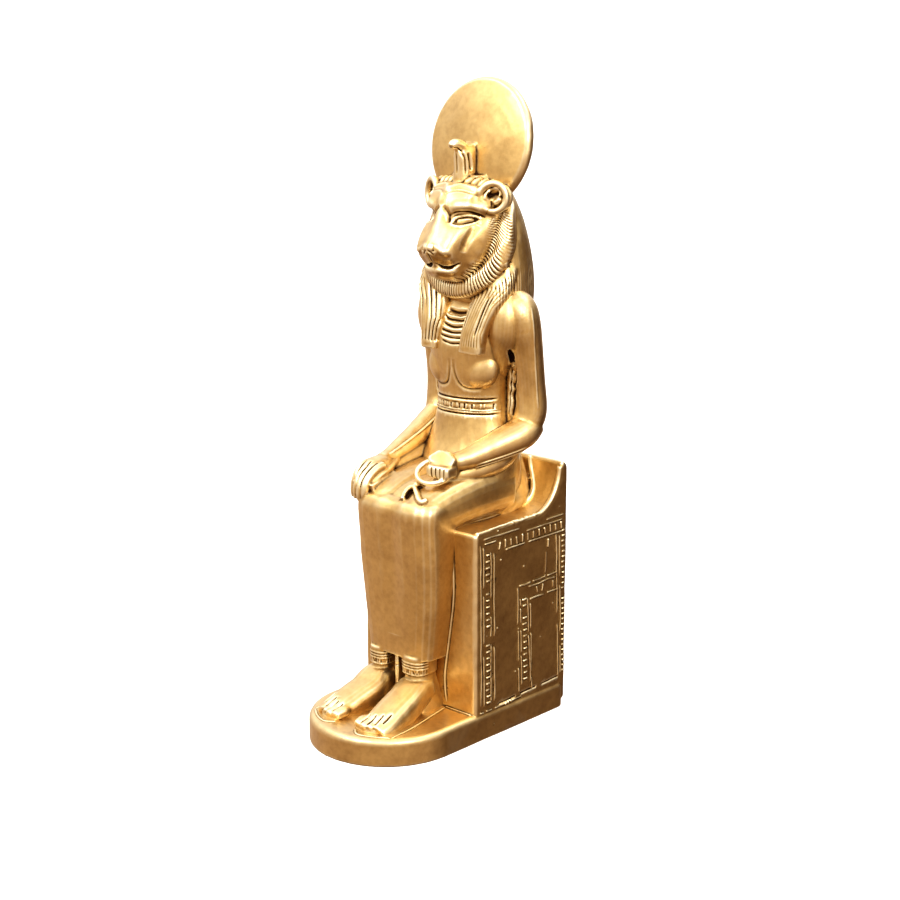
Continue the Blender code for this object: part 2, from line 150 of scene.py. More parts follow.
def hoop(bm, centre, radii, normal, thickness, steps=40):
    # a ring of round section, radii being its two half widths
    normal = Vector(normal).normalized()
    across = normal.cross(Vector((0, 0, 1))).normalized()
    upward = across.cross(normal)
    rings = []
    for i in range(steps):
        angle = 2 * math.pi * i / steps
        out = across * math.cos(angle) * radii[0] + upward * math.sin(angle) * radii[1]
        rings.append(section(bm, Vector(centre) + out, out.normalized() * thickness, normal * thickness, 2, 20))
    for i in range(steps):
        bmesh.ops.bridge_loops(bm, edges=rings[i] + rings[(i + 1) % steps])


def extruded(bm, outline, direction):
    face = bm.faces.new([bm.verts.new(point) for point in outline])
    pulled = bmesh.ops.extrude_face_region(bm, geom=[face])["geom"]
    bmesh.ops.translate(bm, vec=direction, verts=[part for part in pulled if isinstance(part, bmesh.types.BMVert)])


def joinRounded(bm, own, edges, offset, segments):
    # rounds these edges of a form of its own, then adds it to the clay
    bmesh.ops.bevel(own, geom=edges, offset=offset, segments=segments, profile=0.5, affect="EDGES", material=-1)
    mesh = bpy.data.meshes.new("part")
    own.to_mesh(mesh)
    own.free()
    bm.from_mesh(mesh)
    bpy.data.meshes.remove(mesh)


def objectFrom(name, bm):
    mesh = bpy.data.meshes.new(name)
    bm.to_mesh(mesh)
    bm.free()
    obj = bpy.data.objects.new(name, mesh)
    bpy.context.scene.collection.objects.link(obj)
    return obj


def evaluatedMesh(obj):
    graph = bpy.context.evaluated_depsgraph_get()
    graph.update()
    return bpy.data.meshes.new_from_object(obj.evaluated_get(graph))


def within(value, low, high, soft=0.4):
    # 1 between low and high, fading to 0 outside over soft
    return np.clip((value - low) / soft + 0.5, 0, 1) * np.clip((high - value) / soft + 0.5, 0, 1)


def waves(co, size, seed, layers=5):
    # a smooth wandering value from -1 to 1, size being its typical hump in mm
    draw = np.random.default_rng(seed)
    value = np.zeros(len(co))
    for _ in range(layers):
        direction = draw.normal(size=3)
        direction *= math.pi / size / np.linalg.norm(direction)
        value += np.sin(co @ direction + draw.uniform(0, 2 * math.pi))
    return value / layers ** 0.5 / 1.2


class Skin:
    # a fine skin over the clay, which is then worked with strokes as a sculptor does

    def __init__(self, name, makers, voxel, smoothing):
        bm = bmesh.new()
        for make in makers:
            make(bm)
        bmesh.ops.recalc_face_normals(bm, faces=bm.faces)
        self.obj = objectFrom(name, bm)
        remesh = self.obj.modifiers.new("skin", "REMESH")
        remesh.mode = "VOXEL"
        remesh.voxel_size = voxel * 1
        self.obj.data = evaluatedMesh(self.obj)
        self.obj.modifiers.clear()
        mesh = self.obj.data
        self.co = np.empty((len(mesh.vertices), 3))
        mesh.vertices.foreach_get("co", self.co.ravel())
        self.edges = np.empty((len(mesh.edges), 2), int)
        mesh.edges.foreach_get("vertices", self.edges.ravel())
        self.links = np.bincount(self.edges.ravel(), minlength=len(self.co))[:, None]
        self.relax(smoothing)
        self.settle()

    def spread(self, value):
        # the mean of each point's neighbours
        out = np.empty_like(value)
        one, two = self.edges.T
        for k in range(value.shape[1]):
            out[:, k] = np.bincount(one, value[two, k], len(value)) + np.bincount(two, value[one, k], len(value))
        return out / self.links

    def relax(self, times, share=0.5):
        for _ in range(times):
            self.co += (self.spread(self.co) - self.co) * share

    def settle(self):
        # takes the moved points as the new surface to work on
        mesh = self.obj.data
        mesh.vertices.foreach_set("co", self.co.ravel())
        mesh.update()
        self.normal = np.empty_like(self.co)
        mesh.vertex_normals.foreach_get("vector", self.normal.ravel())
        self.tree = BVHTree.FromPolygons(
            [v.co.copy() for v in mesh.vertices], [tuple(p.vertices) for p in mesh.polygons])

    def land(self, points, toward, reach):
        # drops a line of points onto the surface, along toward
        landed = []
        for point in points:
            way = Vector(toward).normalized()
            hit = self.tree.ray_cast(Vector(point) - way * reach, way, 2 * reach)[0]
            if hit is not None:
                landed.append(hit)
        landed = np.array(landed)
        for _ in range(2 if len(landed) > 4 else 0):
            landed[1:-1] = landed[1:-1] * 0.5 + (landed[:-2] + landed[2:]) * 0.25
        return landed

    def stroke(self, points, width, height, toward=inward, reach=4.0, taper=0.2):
        # raises a line, or cuts it where height is below nothing; width is measured to each side
        line = np.array(eased(points, 12)) if len(points) > 2 else np.array(points, float)
        along = np.concatenate([[0], np.linalg.norm(np.diff(line, axis=0), axis=1).cumsum()])
        at = np.linspace(0, along[-1], max(3, int(along[-1] / max(0.12, width * 0.4))))
        line = self.land(np.stack([np.interp(at, along, line[:, k]) for k in range(3)], 1), toward, reach)
        if len(line) < 2:
            return
        near = np.flatnonzero(((self.co > line.min(0) - width) & (self.co < line.max(0) + width)).all(1))
        spots = self.co[near]
        best = np.full(len(near), np.inf)
        place = np.zeros(len(near))
        for i, (one, two) in enumerate(zip(line, line[1:])):
            local = np.flatnonzero((np.abs(spots - (one + two) / 2) < width + np.abs(two - one) / 2).all(1))
            share = np.clip((spots[local] - one) @ (two - one) / max(1e-9, (two - one) @ (two - one)), 0, 1)
            gap = np.linalg.norm(spots[local] - one - share[:, None] * (two - one), axis=1) / width
            closer = gap < best[local]
            best[local[closer]] = gap[closer]
            place[local[closer]] = i + share[closer]
        profile = np.clip(1 - best, 0, 1)
        profile = profile * profile * (3 - 2 * profile)
        if taper:
            share = place / (len(line) - 1)
            profile *= np.clip(np.minimum(share, 1 - share) / taper, 0, 1) ** 0.6
        self.co[near] += self.normal[near] * (profile * height)[:, None]

    def pair(self, points, width, height, toward=inward, **more):
        # the same stroke on her left side and mirrored on her right
        for side in sides:
            self.stroke([(side * x, y, z) for x, y, z in points], width, height,
                        (side * toward[0], toward[1], toward[2]), **more)

    def comb(self, where, across, pitch, depth, seed, wander=0.5):
        # fine strands side by side: where is 0 to 1 over the points, across runs over the strands
        phase = across / pitch + wander * waves(self.co, 3.0, seed)
        groove = np.abs(((phase % 1) - 0.5) * 2)
        uneven = 0.7 + 0.5 * waves(self.co * (1, 1, 0.4), 1.6, seed + 1)
        self.co -= self.normal * (where * depth * np.clip(groove * 2.2 - 1.0, 0, 1.2) * uneven)[:, None]

    def roughen(self, size, height, seed):
        self.co += self.normal * (height * waves(self.co, size, seed, 9))[:, None]

    def finish(self, triangles):
        # notes how deep each point lies, then keeps as few triangles as hold the form
        mesh = self.obj.data
        # the gold paint turns umber where crevice is high, partly paint left there and partly painted shade, umber
        # where hollow is high as painted shade, and pale where crevice is below nothing, partly wear and partly painted
        # highlight
        # scale is the depth in mm that counts as 1
        for name, times, scale in (("crevice", 5, 0.035), ("hollow", 60, 0.22)):
            smoothed = self.co.copy()
            for _ in range(times):
                smoothed = smoothed * 0.4 + self.spread(smoothed) * 0.6
            depth = ((smoothed - self.co) * self.normal).sum(1) / scale
            mesh.attributes.new(name, "FLOAT", "POINT").data.foreach_set("value", np.clip(depth, -1.5, 1.5))
        # nothing stands out of the CAD box, and the underside is flat
        low, high = np.array(cadBox) / mm
        self.co = np.clip(self.co, low, high)
        self.co[self.co[:, 2] < undersideRounding, 2] = 0
        mesh.vertices.foreach_set("co", (self.co * mm).ravel())
        mesh.update()
        mesh.calc_loop_triangles()
        fewer = self.obj.modifiers.new("fewer", "DECIMATE")
        fewer.ratio = min(1, triangles / len(mesh.loop_triangles))
        fewer.use_collapse_triangulate = True
        self.obj.data = evaluatedMesh(self.obj)
        self.obj.modifiers.clear()
        self.obj.data.name = self.obj.name
        self.obj.data.shade_smooth()
        print(self.obj.name, "has", len(self.obj.data.polygons), "triangles")
        return self.obj


def sculpt(name, v, makers, carvings):
    # one finished piece: clay, its skin, the carving, then the unevenness of the casting
    skin = Skin(name, makers, v["voxel"], v["smoothing"])
    for carve in carvings:
        carve(skin)
    skin.relax(1, v["soften"])
    skin.settle()
    for i, hump in enumerate(v["humps"]):
        skin.roughen(hump, v["grain"] * (2 - i), v["seed"] + i)
    skin.settle()
    return skin.finish(v["triangles"])


# Body: torso, arms, hands, dress and feet

bodyValues = {
    "voxel": 0.13,
    "smoothing": 6,
    "soften": 0.3,  # share of one last smoothing over the carving
    "grain": 0.012,  # mm, the unevenness of the casting
    "humps": (2.5, 0.9),
    "seed": 11,
    "triangles": 195000,
}


def torso(bm):
    column(bm, (
        (31, 0, 9, 6.2, 7.4, 2.8), (36, 0, 9.8, 7.6, 7.2, 2.6), (40, 0, 10.5, 8, 6.4, 2.4),
        (44, 0, 11, 7.2, 5.3, 2.2), (48, 0, 11.1, 6.2, 4.6, 2.2), (51.5, 0, 11, 5.9, 4.4, 2.2),
        (55, 0, 10.8, 6.5, 4.7, 2.3), (59, 0, 11, 7.3, 4.9, 2.4), (62.5, 0, 11.7, 7.7, 4.7, 2.4),
        (65, 0, 12.1, 7.2, 4, 2.2), (67, 0, 12.4, 5, 3.2, 2),
    ))
    for side in sides:
        ball(bm, (side * 3.3, 8.65, 55.4), (3.4, 2.1, 3.5), turn=(-8, 0, side * 4))
        # the chest beside the lappets, running out into the arm
        limb(bm, (
            (6.6, 10.6, 66, 2.2), (7.2, 10.3, 63.5, 2.7), (7.1, 10.2, 61, 2.7),
            (6.5, 10.4, 58.5, 2.2), (5.3, 11, 55.5, 1.7), (4.2, 12, 52, 1),
        ), side)


def legs(bm):
    # thighs along the seat, shins down to the hem, under one tight dress
    for side in sides:
        limb(bm, (
            (4, 12, 36.6, 4.1), (4, 6, 36.5, 4.1), (4, 1, 35.9, 3.9),
            (3.9, -3, 35, 3.6), (3.8, -5.4, 34.2, 3),
        ), side, squareness=2.6)
        # the side of the thigh runs down to the seat
        limb(bm, ((4.6, 11, 34.4, 2.2), (4.9, 5, 34.5, 2.3), (4.9, -1, 34.4, 2.3)), side)
        limb(bm, ((3.9, 12, 33, 2.3), (4.1, 6, 33, 2.4), (4.4, 0, 33, 2.4)), side, squareness=3)
    limb(bm, ((0, 12, 35.6, 3.6), (0, 4, 35.6, 3.7), (0, -1.5, 35.3, 3.4), (0, -5.2, 34.4, 2.8)), squareness=3)
    column(bm, tuple(
        (z, (near - far) / 2, (ahead + behind) / 2, (near + far) / 2, (behind - ahead) / 2, 4.2)
        for z, near, far, ahead, behind in (
            (37.3, 6.6, 7.1, -5.7, 1.4), (36.9, 7.1, 7.7, -6.7, 1.4), (36.2, 7.5, 8.2, -7.3, 1.4),
            (35.2, 7.6, 8.3, -7.6, 1.4), (33, 7.55, 8.3, -7.5, 0.8), (27, 7.45, 8.2, -7.1, 1.2),
            (21, 7, 7.9, -6.7, 1.6), (16, 6.3, 7.4, -6.4, 2), (12.3, 5.8, 7, -6.2, 2),
        )
    ))
    # hips, filled in against the back of the throne
    column(bm, (
        (32.4, 0, 12.4, 7, 4.6, 3), (34.2, 0, 13.4, 7.6, 4.9, 3), (36.5, 0, 14.4, 6.8, 4.3, 3),
        (38.5, 0, 14.8, 5.8, 4, 3), (40.2, 0, 14.6, 5.2, 3.8, 3), (42.5, 0, 13.2, 5, 3.2, 2.6),
    ))
    # the thick seam that runs over the seat and up the back of the throne
    for side in sides:
        limb(bm, (
            (6.75, -1.1, 32.5, 0.34), (6.5, 1.8, 32.55, 0.3), (6.45, 4.5, 32.55, 0.3),
            (6.25, 8.5, 32.55, 0.34), (6.3, 12.75, 32.6, 0.38), (7, 14.4, 33.2, 0.4),
            (7.5, 15.8, 34.2, 0.42), (7.2, 17, 35.6, 0.42), (6.3, 17.8, 37.2, 0.42),
            (5.6, 18.2, 38.6, 0.42), (5.3, 18.3, 40.2, 0.4),
        ), side)


footValues = {
    1: {"ankle": (2.7, -3.8, 2.2), "out": 0.0},
    -1: {"ankle": (-4.4, -4.3, 1.75), "out": 0.75},
}
ballX = 4.2  # the ball of the foot, from her middle
# each toe's distance from her middle, its tip and its radius
toes = ((2, -16.5, 0.8), (3.3, -16.6, 0.68), (4.35, -16.3, 0.62), (5.35, -15.6, 0.58), (6.2, -14.7, 0.55))


def feet(bm):
    for side in sides:
        # the cuff under the hem, then the ankle; her right foot stands further out
        v = footValues[side]
        x, y, half = v["ankle"]
        column(bm, (
            (12.8, x, y, half + 0.05, half + 0.4, 2.8),
            (10, x, y, half, half + 0.35, 2.8),
        ))
        column(bm, (
            (11, x, y, half - 0.3, half, 2.4),
            (8, x + side * 0.1, y + 0.2, half - 0.1, half + 0.5, 2.4),
            (3.6, x + side * 0.3, y + 0.9, half + 0.2, half + 1.4, 2.6),
        ))
        out = v["out"]
        limb(bm, (
            (side * x + 0.1, y + 0.6, 7.4, 2.4), (side * x + 0.2, y - 1.4, 7.2, 2.7),
            (3.55 + out, -8.2, 6, 2.9), (3.9 + out, -11.2, 4.8, 2.95),
            (ballX + out, -13.7, 3.8, 2.9), (ballX + out, -15.2, 3.2, 2.7),
        ), side, flat=0.8, squareness=3)
        for across, tip, radius in toes:
            across += out
            limb(bm, (
                (ballX + (across - ballX) * 0.6, tip + 4.2, 4.6, radius),
                (across - 0.05, tip + 1.8, 5, radius),
                (across, tip + 0.5, 4.85, radius * 0.95),
                (across, tip, 4.7, radius * 0.8),
            ), side, flat=0.95, squareness=2.6)
        # the edge of the sole under the toes
        limb(bm, (
            (1.9 + out, -15.7, 4.3, 0.85), (ballX + out, -15.7, 4.3, 0.85), (6.2 + out, -14.2, 4.3, 0.8),
        ), side, flat=0.7)
    # a thin web between the ankles
    block(bm, (-0.9, -3.6, 8), (0.7, 3.4, 9))
    block(bm, (-0.5, 0.6, 7.4), (7, 5.6, 7.6))


def arms(bm):
    for side in sides:
        limb(bm, (
            (6, 11.6, 66.2, 1.9), (7.9, 11.8, 64.4, 2.9), (8.6, 12.2, 61.8, 3),
            (9, 13.1, 57, 2.5), (9.15, 13.7, 52, 2.4), (9.2, 13.8, 48.5, 2.5),
            (8.9, 12.9, 46.1, 2.35),
        ), side)
        column(bm, (
            (44, 7.4, 12.6, 1.6, 1.5, 2), (52, 7.2, 12.8, 1.5, 1.3, 2), (60, 7, 12.4, 1.7, 1.5, 2),
        ), side)
    # her left forearm lies across the thigh to the fist
    limb(bm, (
        (9.3, 14.1, 46.8, 2.2), (9.1, 12, 45.5, 2.5), (7.9, 8.6, 44.2, 2.3),
        (6.6, 5.6, 43.1, 1.95), (5.8, 3.2, 42.5, 1.55), (5, 1.2, 42.2, 1.4),
        (4.5, 0.2, 41.8, 1.2),
    ))
    # her right forearm runs straight to the knee
    limb(bm, (
        (-9.1, 14, 46.8, 2.2), (-8.9, 11.8, 45.3, 2.25), (-8.7, 8, 43.4, 2),
        (-8.5, 4, 41.7, 1.75), (-8.3, 1, 40.6, 1.5), (-8.2, -0.6, 40.2, 1.5),
    ))
    # the casting is filled in under both
    limb(bm, (
        (6.8, 12, 42.6, 1.6), (7, 9, 41.6, 1.9), (5.9, 5.4, 40.6, 1.8),
        (4.3, 1.6, 39.8, 1.7), (3.8, -0.8, 39.4, 1.4),
    ))
    limb(bm, ((-7.4, 10, 41.5, 1.6), (-7.3, 5, 40, 1.5), (-7.2, 0, 39, 1.2)))


def hands(bm):
    # the fist, flat on top, its fingers curled down in front
    own = bmesh.new()
    top = (
        (2.1, -1.5, 43.2), (3.1, 0, 44.2), (4.8, 0.5, 44.1), (6.5, 0.1, 43.2),
        (6.5, -1.15, 42.1), (4.8, -1.95, 41.95), (2.8, -1.95, 42.5),
    )
    extruded(own, top, Vector((-0.2, 0.62, -0.76)) * 3.2)
    bmesh.ops.recalc_face_normals(own, faces=own.faces[:])
    joinRounded(bm, own, own.edges[:], 0.35, 2)
    own = bmesh.new()
    block(own, (4.7, -1, 41.2), (4, 2.9, 1.9), turn=(0, 0, 8))
    joinRounded(bm, own, own.edges[:], 0.5, 3)
    # the loop of the ankh round the fist, and its arms on the knee
    hoop(bm, (3.55, -1.5, 40.95), (2.75, 2.3), (0.12, -0.585, 0.80), 0.42)
    limb(bm, (
        (1.6, -6.3, 37.3, 0.4), (0.95, -5.1, 37.95, 0.45), (0.9, -4, 38.5, 0.48),
        (1.7, -3.8, 38.65, 0.45), (2.8, -4.5, 38.35, 0.42), (4.2, -5.5, 37.8, 0.42),
        (5.3, -5.9, 37.5, 0.4), (5.8, -5.3, 37.9, 0.35),
    ))
    limb(bm, ((1.5, -3.5, 39, 0.4), (2.7, -2.9, 39.3, 0.4)))
    # the flat hand, its fingers bent over the knee
    ball(bm, (-8, -2, 40), (2, 3, 1.45), turn=(8, 0, 0))
    block(bm, (-7, -3.2, 37.1), (4.2, 5.2, 3.6), turn=(14, 0, 0))
    for finger, bend in enumerate((0, 0.5, 0.8, 0.8)):
        x = -9.3 + 1.05 * finger
        limb(bm, (
            (x, -2.4, 40.4, 0.66),
            (x, -4.1, 40, 0.66),
            (x, -5.2 - bend, 38.6, 0.63),
            (x, -5.7 - bend, 37, 0.6),
            (x, -5.7 - bend, 35.6, 0.45),
        ))
    # its thumb
    limb(bm, (
        (-7.9, 3, 41, 0.5), (-6.7, 0.2, 40.2, 0.6), (-5.9, -2, 39.6, 0.6),
        (-5.6, -4, 39, 0.55), (-5.8, -5.6, 38, 0.5), (-6, -6.2, 37, 0.4),
    ))


def carveTorso(skin):
    # neck and the rows of a broad necklace between the lappets
    skin.stroke(((-1.9, 6, 63.7), (0, 6, 63.5), (2.1, 6, 63.7)), 0.5, -0.5)
    draw = np.random.default_rng(12)
    for i, z in enumerate((62.7, 61.8, 60.9, 60.1, 59.3)):
        ends, sag = draw.uniform(2.1, 2.7), draw.uniform(0.25, 0.45)
        middle = z + draw.normal(0, 0.05)
        arc = [(x, 7, high) for x, high in (
            (-ends, z + sag), (-1.3, z + 0.1), (0, middle), (1.3, z + 0.1), (ends, z + sag))]
        skin.stroke(arc, 0.36, 0.22 - 0.02 * i, taper=0.1)
        skin.stroke([(x, y, high - 0.42) for x, y, high in arc], 0.22, -0.26 + 0.03 * i, taper=0.1)
    # a soft fold under the breasts, and the slits at the armpits
    fold = (
        (0.42, 6.5, 56.6), (0.42, 6.5, 55.2), (0.76, 6.5, 53.7), (1.35, 6.5, 52.7),
        (2.6, 6.4, 52.2), (4.3, 6.5, 52.3), (6.3, 7.5, 53.3),
    )
    skin.pair(fold, 0.42, -0.14, taper=0.4)
    skin.pair(((8.9, 9, 58.6), (8.85, 9, 57.2), (8.8, 9, 55.6)), 0.5, -0.9, (-0.35, 0.93, 0))
    # the ragged web of the casting between arm and waist
    draw = np.random.default_rng(13)
    for side in sides:
        web = [(side * (8.75 - 0.07 * i + draw.normal(0, 0.09)), 9.2, 55.2 - 0.8 * i) for i in range(10)]
        skin.stroke(web, 0.28, 0.3, (side * -0.35, 0.93, 0), taper=0.1)
        skin.stroke([(x + side * 0.45, y, z) for x, y, z in web], 0.3, -0.3, (side * -0.35, 0.93, 0))
        skin.stroke([(x - side * 0.45, y, z) for x, y, z in web], 0.3, -0.3, (side * -0.35, 0.93, 0))
        # a flash line of the mould down the outside of the arm
        flash = [
            (side * (10.3 + 0.04 * i), 12.2 + 0.1 * i, 65.0 - 1.3 * i + draw.normal(0, 0.1)) for i in range(13)
        ]
        skin.stroke(flash, 0.3, 0.07, (side * -0.8, 0.6, 0), taper=0.1)


def carveBelt(skin):
    # two cords above and below a band with sunken ticks
    def across(z):
        return [(x, 7, z + 0.03 * x) for x in np.linspace(-6.4, 8, 15)]
    for z, width, height in (
        (50.5, 0.24, -0.16), (50.15, 0.22, 0.17), (49.35, 0.5, 0.06), (48.75, 0.18, 0.14),
        (48.45, 0.18, 0.14), (48.6, 0.12, -0.12), (48.15, 0.26, -0.16),
    ):
        skin.stroke(across(z), width, height, taper=0.04)
    draw = np.random.default_rng(14)
    for x in np.arange(-5.6, 7.8, 1.25):
        for shift in (0, 0.42):
            at = x + shift + draw.normal(0, 0.06)
            top, low = 49.75 + 0.03 * x + draw.normal(0, 0.05), 49.0 + 0.03 * x + draw.normal(0, 0.08)
            skin.stroke(((at, 7, top), (at, 7, low)), 0.19, -0.32 if draw.random() < 0.7 else 0.1)


def carveHands(skin):
    # her left fist: four fingers below the flat top
    for x in (3.2, 3.95, 4.7, 5.45, 6.2):
        skin.stroke(((x, -3, 42), (x + 0.03, -3.4, 41), (x + 0.06, -3.4, 40.2)), 0.2, -0.24, taper=0.15)
    # two ridges left by the mould under the forearm
    for lower in (0, 0.6):
        skin.stroke([(10.6 - 0.1 * i, 11.5 - 1.25 * i, 43.9 - 0.35 * i - lower) for i in range(8)],
                    0.22, 0.22, (-0.9, 0.3, 0.1), taper=0.15)
    # her right hand: gaps between the long fingers
    for i in range(3):
        x = -8.78 + 1.05 * i
        skin.stroke(((x, -3.2, 40.9), (x, -4.6, 40.4), (x, -6.2, 39), (x, -6.6, 37.4)), 0.22, -0.3, (0, 0.8, -0.6))
    # a ridge along the inside of her right forearm
    ridge = ((-7, 12, 47.5), (-7.1, 7, 44), (-7.3, 2, 41.8), (-7.4, 0, 41))
    skin.stroke(ridge, 0.25, 0.2, (0, 0.1, -1), taper=0.1)


def carveDress(skin):
    # a shallow valley between knees and shins
    valley = ((0, -3, 39), (0, -7, 36.6), (0, -7, 33), (0, -7, 26), (0, -7, 16))
    skin.stroke(valley, 2.6, -0.45, (0, 0.9, -0.3), 6, taper=0.45)
    # the cuff at the hem: rims with hatching between them, front and sides
    draw = np.random.default_rng(15)
    for side in sides:
        middleX, middleY, half = footValues[side]["ankle"]

        def ring(z, degrees):
            return [
                (middleX + (half + 1) * math.sin(a), middleY - (half + 1.4) * math.cos(a), z)
                for a in np.radians(degrees)
            ]

        def stroke(points, width, height):
            for one, two in zip(points, points[1:]):
                way = (middleX - (one[0] + two[0]) / 2, middleY - (one[1] + two[1]) / 2, 0)
                skin.stroke((one, two), width, height, way, taper=0)
        sweep = np.linspace(-75, 75, 9)
        for z, height in ((11.9, 0.12), (11.45, 0.09), (11, 0.12), (10.1, 0.12)):
            stroke(ring(z, sweep), 0.18, height)
        for degrees in np.arange(-70, 72, 8):
            if draw.random() < 0.85:
                lean = draw.normal(0, 2.5)
                foot = ring(10.3, (degrees,))[0]
                head = ring(11.0 + draw.uniform(-0.2, 0.1), (degrees + lean,))[0]
                stroke((foot, head), 0.15, -0.1 if draw.random() < 0.5 else 0.08)


def carveFeet(skin):
    for side in sides:
        for x, tip in ((2.72, -16.4), (3.82, -16.3), (4.86, -15.8), (5.8, -15)):
            x += footValues[side]["out"]
            gap = ((side * (x - 0.12), tip + 2.2, 7), (side * x, tip + 1.1, 7), (side * (x + 0.04), tip + 0.1, 7))
            skin.stroke(gap, 0.22, -0.5, down, taper=0.3)


# Head: lioness face, mane, wig, sun disc and cobra

headValues = {
    "voxel": 0.13,
    "smoothing": 5,
    "soften": 0.3,
    "grain": 0.01,
    "humps": (2, 0.8),
    "seed": 21,
    "triangles": 195000,
    "discMiddle": (0, 12.1, 88.41),
    "discLean": 10,  # degrees
    "earX": 6.15,
    "earZ": 81,
    "faceZ": 77,  # the mane runs round this height
}


def wig(bm):
    column(bm, (
        (60.2, 0, 14.8, 7, 2.6, 2.3), (63, 0, 13.8, 8.1, 4.2, 2.4), (66.5, 0, 12.9, 8.8, 5.6, 2.4),
        (70, 0, 12.7, 8.7, 5.9, 2.3), (74, 0, 12.5, 8.2, 5.6, 2.2), (78, 0, 12.3, 7.1, 5, 2.1),
        (81.5, 0, 11.9, 5.6, 4.1, 2), (83.9, 0, 11.6, 3.8, 3.2, 2),
    ))
    # the lappets, hers on the left broad and square, the other drawn in below
    for side, lower in (
        (1, ((62, 4.3, 7.1, 2.3, 1.2, 4), (60, 3.95, 6.7, 2.15, 1.15, 4.5), (57.8, 3.75, 6.5, 2.15, 1.1, 4.5))),
        (-1, ((62, 4.7, 7.1, 2.1, 1.2, 3.5), (60, 4.75, 6.8, 1.75, 1.1, 3.5), (57.6, 4.85, 6.6, 1.5, 1, 3.5))),
    ):
        column(bm, (
            (73, 5.6, 12.4, 1.6, 1.6, 2), (70.6, 6.2, 10.9, 2.3, 1.8, 2),
            (68.5, 6.1, 9.6, 2.9, 1.9, 2.2), (66.5, 5.7, 8.8, 3.1, 1.7, 2.6),
            (64.5, 5.1, 7.9, 2.7, 1.4, 3.2),
            *lower,
        ), side)


def face(bm):
    # upright outlines: brow to chin in front, the cheeks behind; numbers are for her left half.
    # A ridge between the flat top of the muzzle and its side keeps the two planes apart.
    loft(bm, [
        contour(bm, [(0, nose), (ridgeX * 0.5, nose + (ridgeY - nose) * 0.45), (ridgeX, ridgeY),
                     (ridgeX * 0.6 + cheekX * 0.4, ridgeY * 0.5 + cheekY * 0.5), (cheekX, cheekY),
                     (cheekX + 0.2, 10), (cheekX - 1.2, 13), (0, 14)], z)
        for z, nose, ridgeX, ridgeY, cheekX, cheekY in eased((
            (68.5, 4.5, 2.3, 5.2, 3, 7), (69.2, 2.9, 2.6, 4, 3.5, 6.4),
            (70.2, 2.5, 2.8, 3.5, 4, 6.1), (70.9, 2.55, 3, 3.4, 4.4, 6.3),
            (71.5, 1.9, 3.1, 3, 4.8, 6.5), (72.4, 1.2, 3.2, 2.3, 5.1, 6.9),
            (73.2, 0.75, 3.2, 1.95, 5.4, 7.2), (74.2, 1, 3.3, 2.3, 5.6, 7.4),
            (75.2, 1.5, 3.4, 2.9, 5.8, 7.6), (76.4, 2.2, 3.4, 3.8, 5.9, 7.8),
            (77.4, 2.75, 3.1, 4.7, 5.9, 8), (78.2, 3.1, 3, 5.2, 5.9, 8.2),
            (79, 3.5, 3.1, 5, 5.8, 8), (79.8, 3.85, 3.4, 4.9, 5.6, 7.8),
            (80.8, 4.2, 3.6, 5.4, 5.4, 7.9), (81.8, 4.9, 3.7, 6.4, 5.2, 8.4),
            (82.6, 6.2, 3.3, 7.5, 4.8, 9.2), (83.2, 8, 3, 9, 4.2, 10.2),
        ), 5)
    ])


def ears(bm):
    v = headValues
    for side in sides:
        facing = (side * 0.45, -0.89, 0.05)
        hoop(bm, (side * v["earX"], 8.4, v["earZ"]), (2, 2.05), facing, 0.5)
        ball(bm, (side * 6.3, 9.9, 80.9), (1.9, 0.9, 2), turn=(0, 0, side * 27))


def carveEars(skin):
    v = headValues
    for side in sides:
        for spots, width, height in (
            (((-1.25, -0.4), (-1.15, 0.6), (-0.3, 1.2), (0.7, 1.15)), 0.3, 0.3),
            (((-0.4, -0.9), (0.5, -0.7), (1.1, 0)), 0.75, 0.5),
            (((-0.9, 0), (-0.2, 0.45), (0.7, 0.6)), 0.6, -0.5),
        ):
            # spots in the ear are across and up from its middle
            skin.stroke([
                (side * (v["earX"] + across * 0.89), 8.6 + across * 0.45, v["earZ"] + up) for across, up in spots
            ], width, height, (side * -0.45, 0.89, -0.05))


def mane(bm):
    # a thick band round the cheeks, ending in a fringed collar under the chin
    for side in sides:
        limb(bm, (
            (5.6, 12.6, 80, 0.6), (6.5, 11.6, 78.9, 0.9), (6.9, 10.9, 77.6, 1.1),
            (7.1, 10.4, 75.6, 1.3), (7.1, 9.9, 73.6, 1.4), (6.5, 9.1, 71.4, 1.5),
            (5.2, 8.1, 69.3, 1.55), (3.5, 7.4, 68, 1.5), (1.8, 7.1, 67.3, 1.45),
            (0, 7, 67.1, 1.45), (-1, 7, 67.1, 1.4),
        ), side, squareness=2.8)


def sunDisc(bm):
    lean = Matrix.Rotation(math.radians(-headValues["discLean"]), 4, "X")
    placed = Matrix.Translation(headValues["discMiddle"]) @ lean
    upward = placed.to_3x3() @ Vector((0, 0, 1))
    loft(bm, [
        section(bm, placed @ Vector((0, depth, 0)), (radius, 0, 0), upward * radius, 2, 96)
        for depth, radius in (
            *((-1.7 + 1.4 * (radius / 9.4) ** 2, radius) for radius in (1.5, 3, 4.5, 6, 7.2, 8.2, 8.9, 9.4)),
            (0, 9.68), (0.3, 9.8), (0.9, 9.8), (1.2, 9.6), (1.5, 7.5), (1.7, 4),
        )
    ])


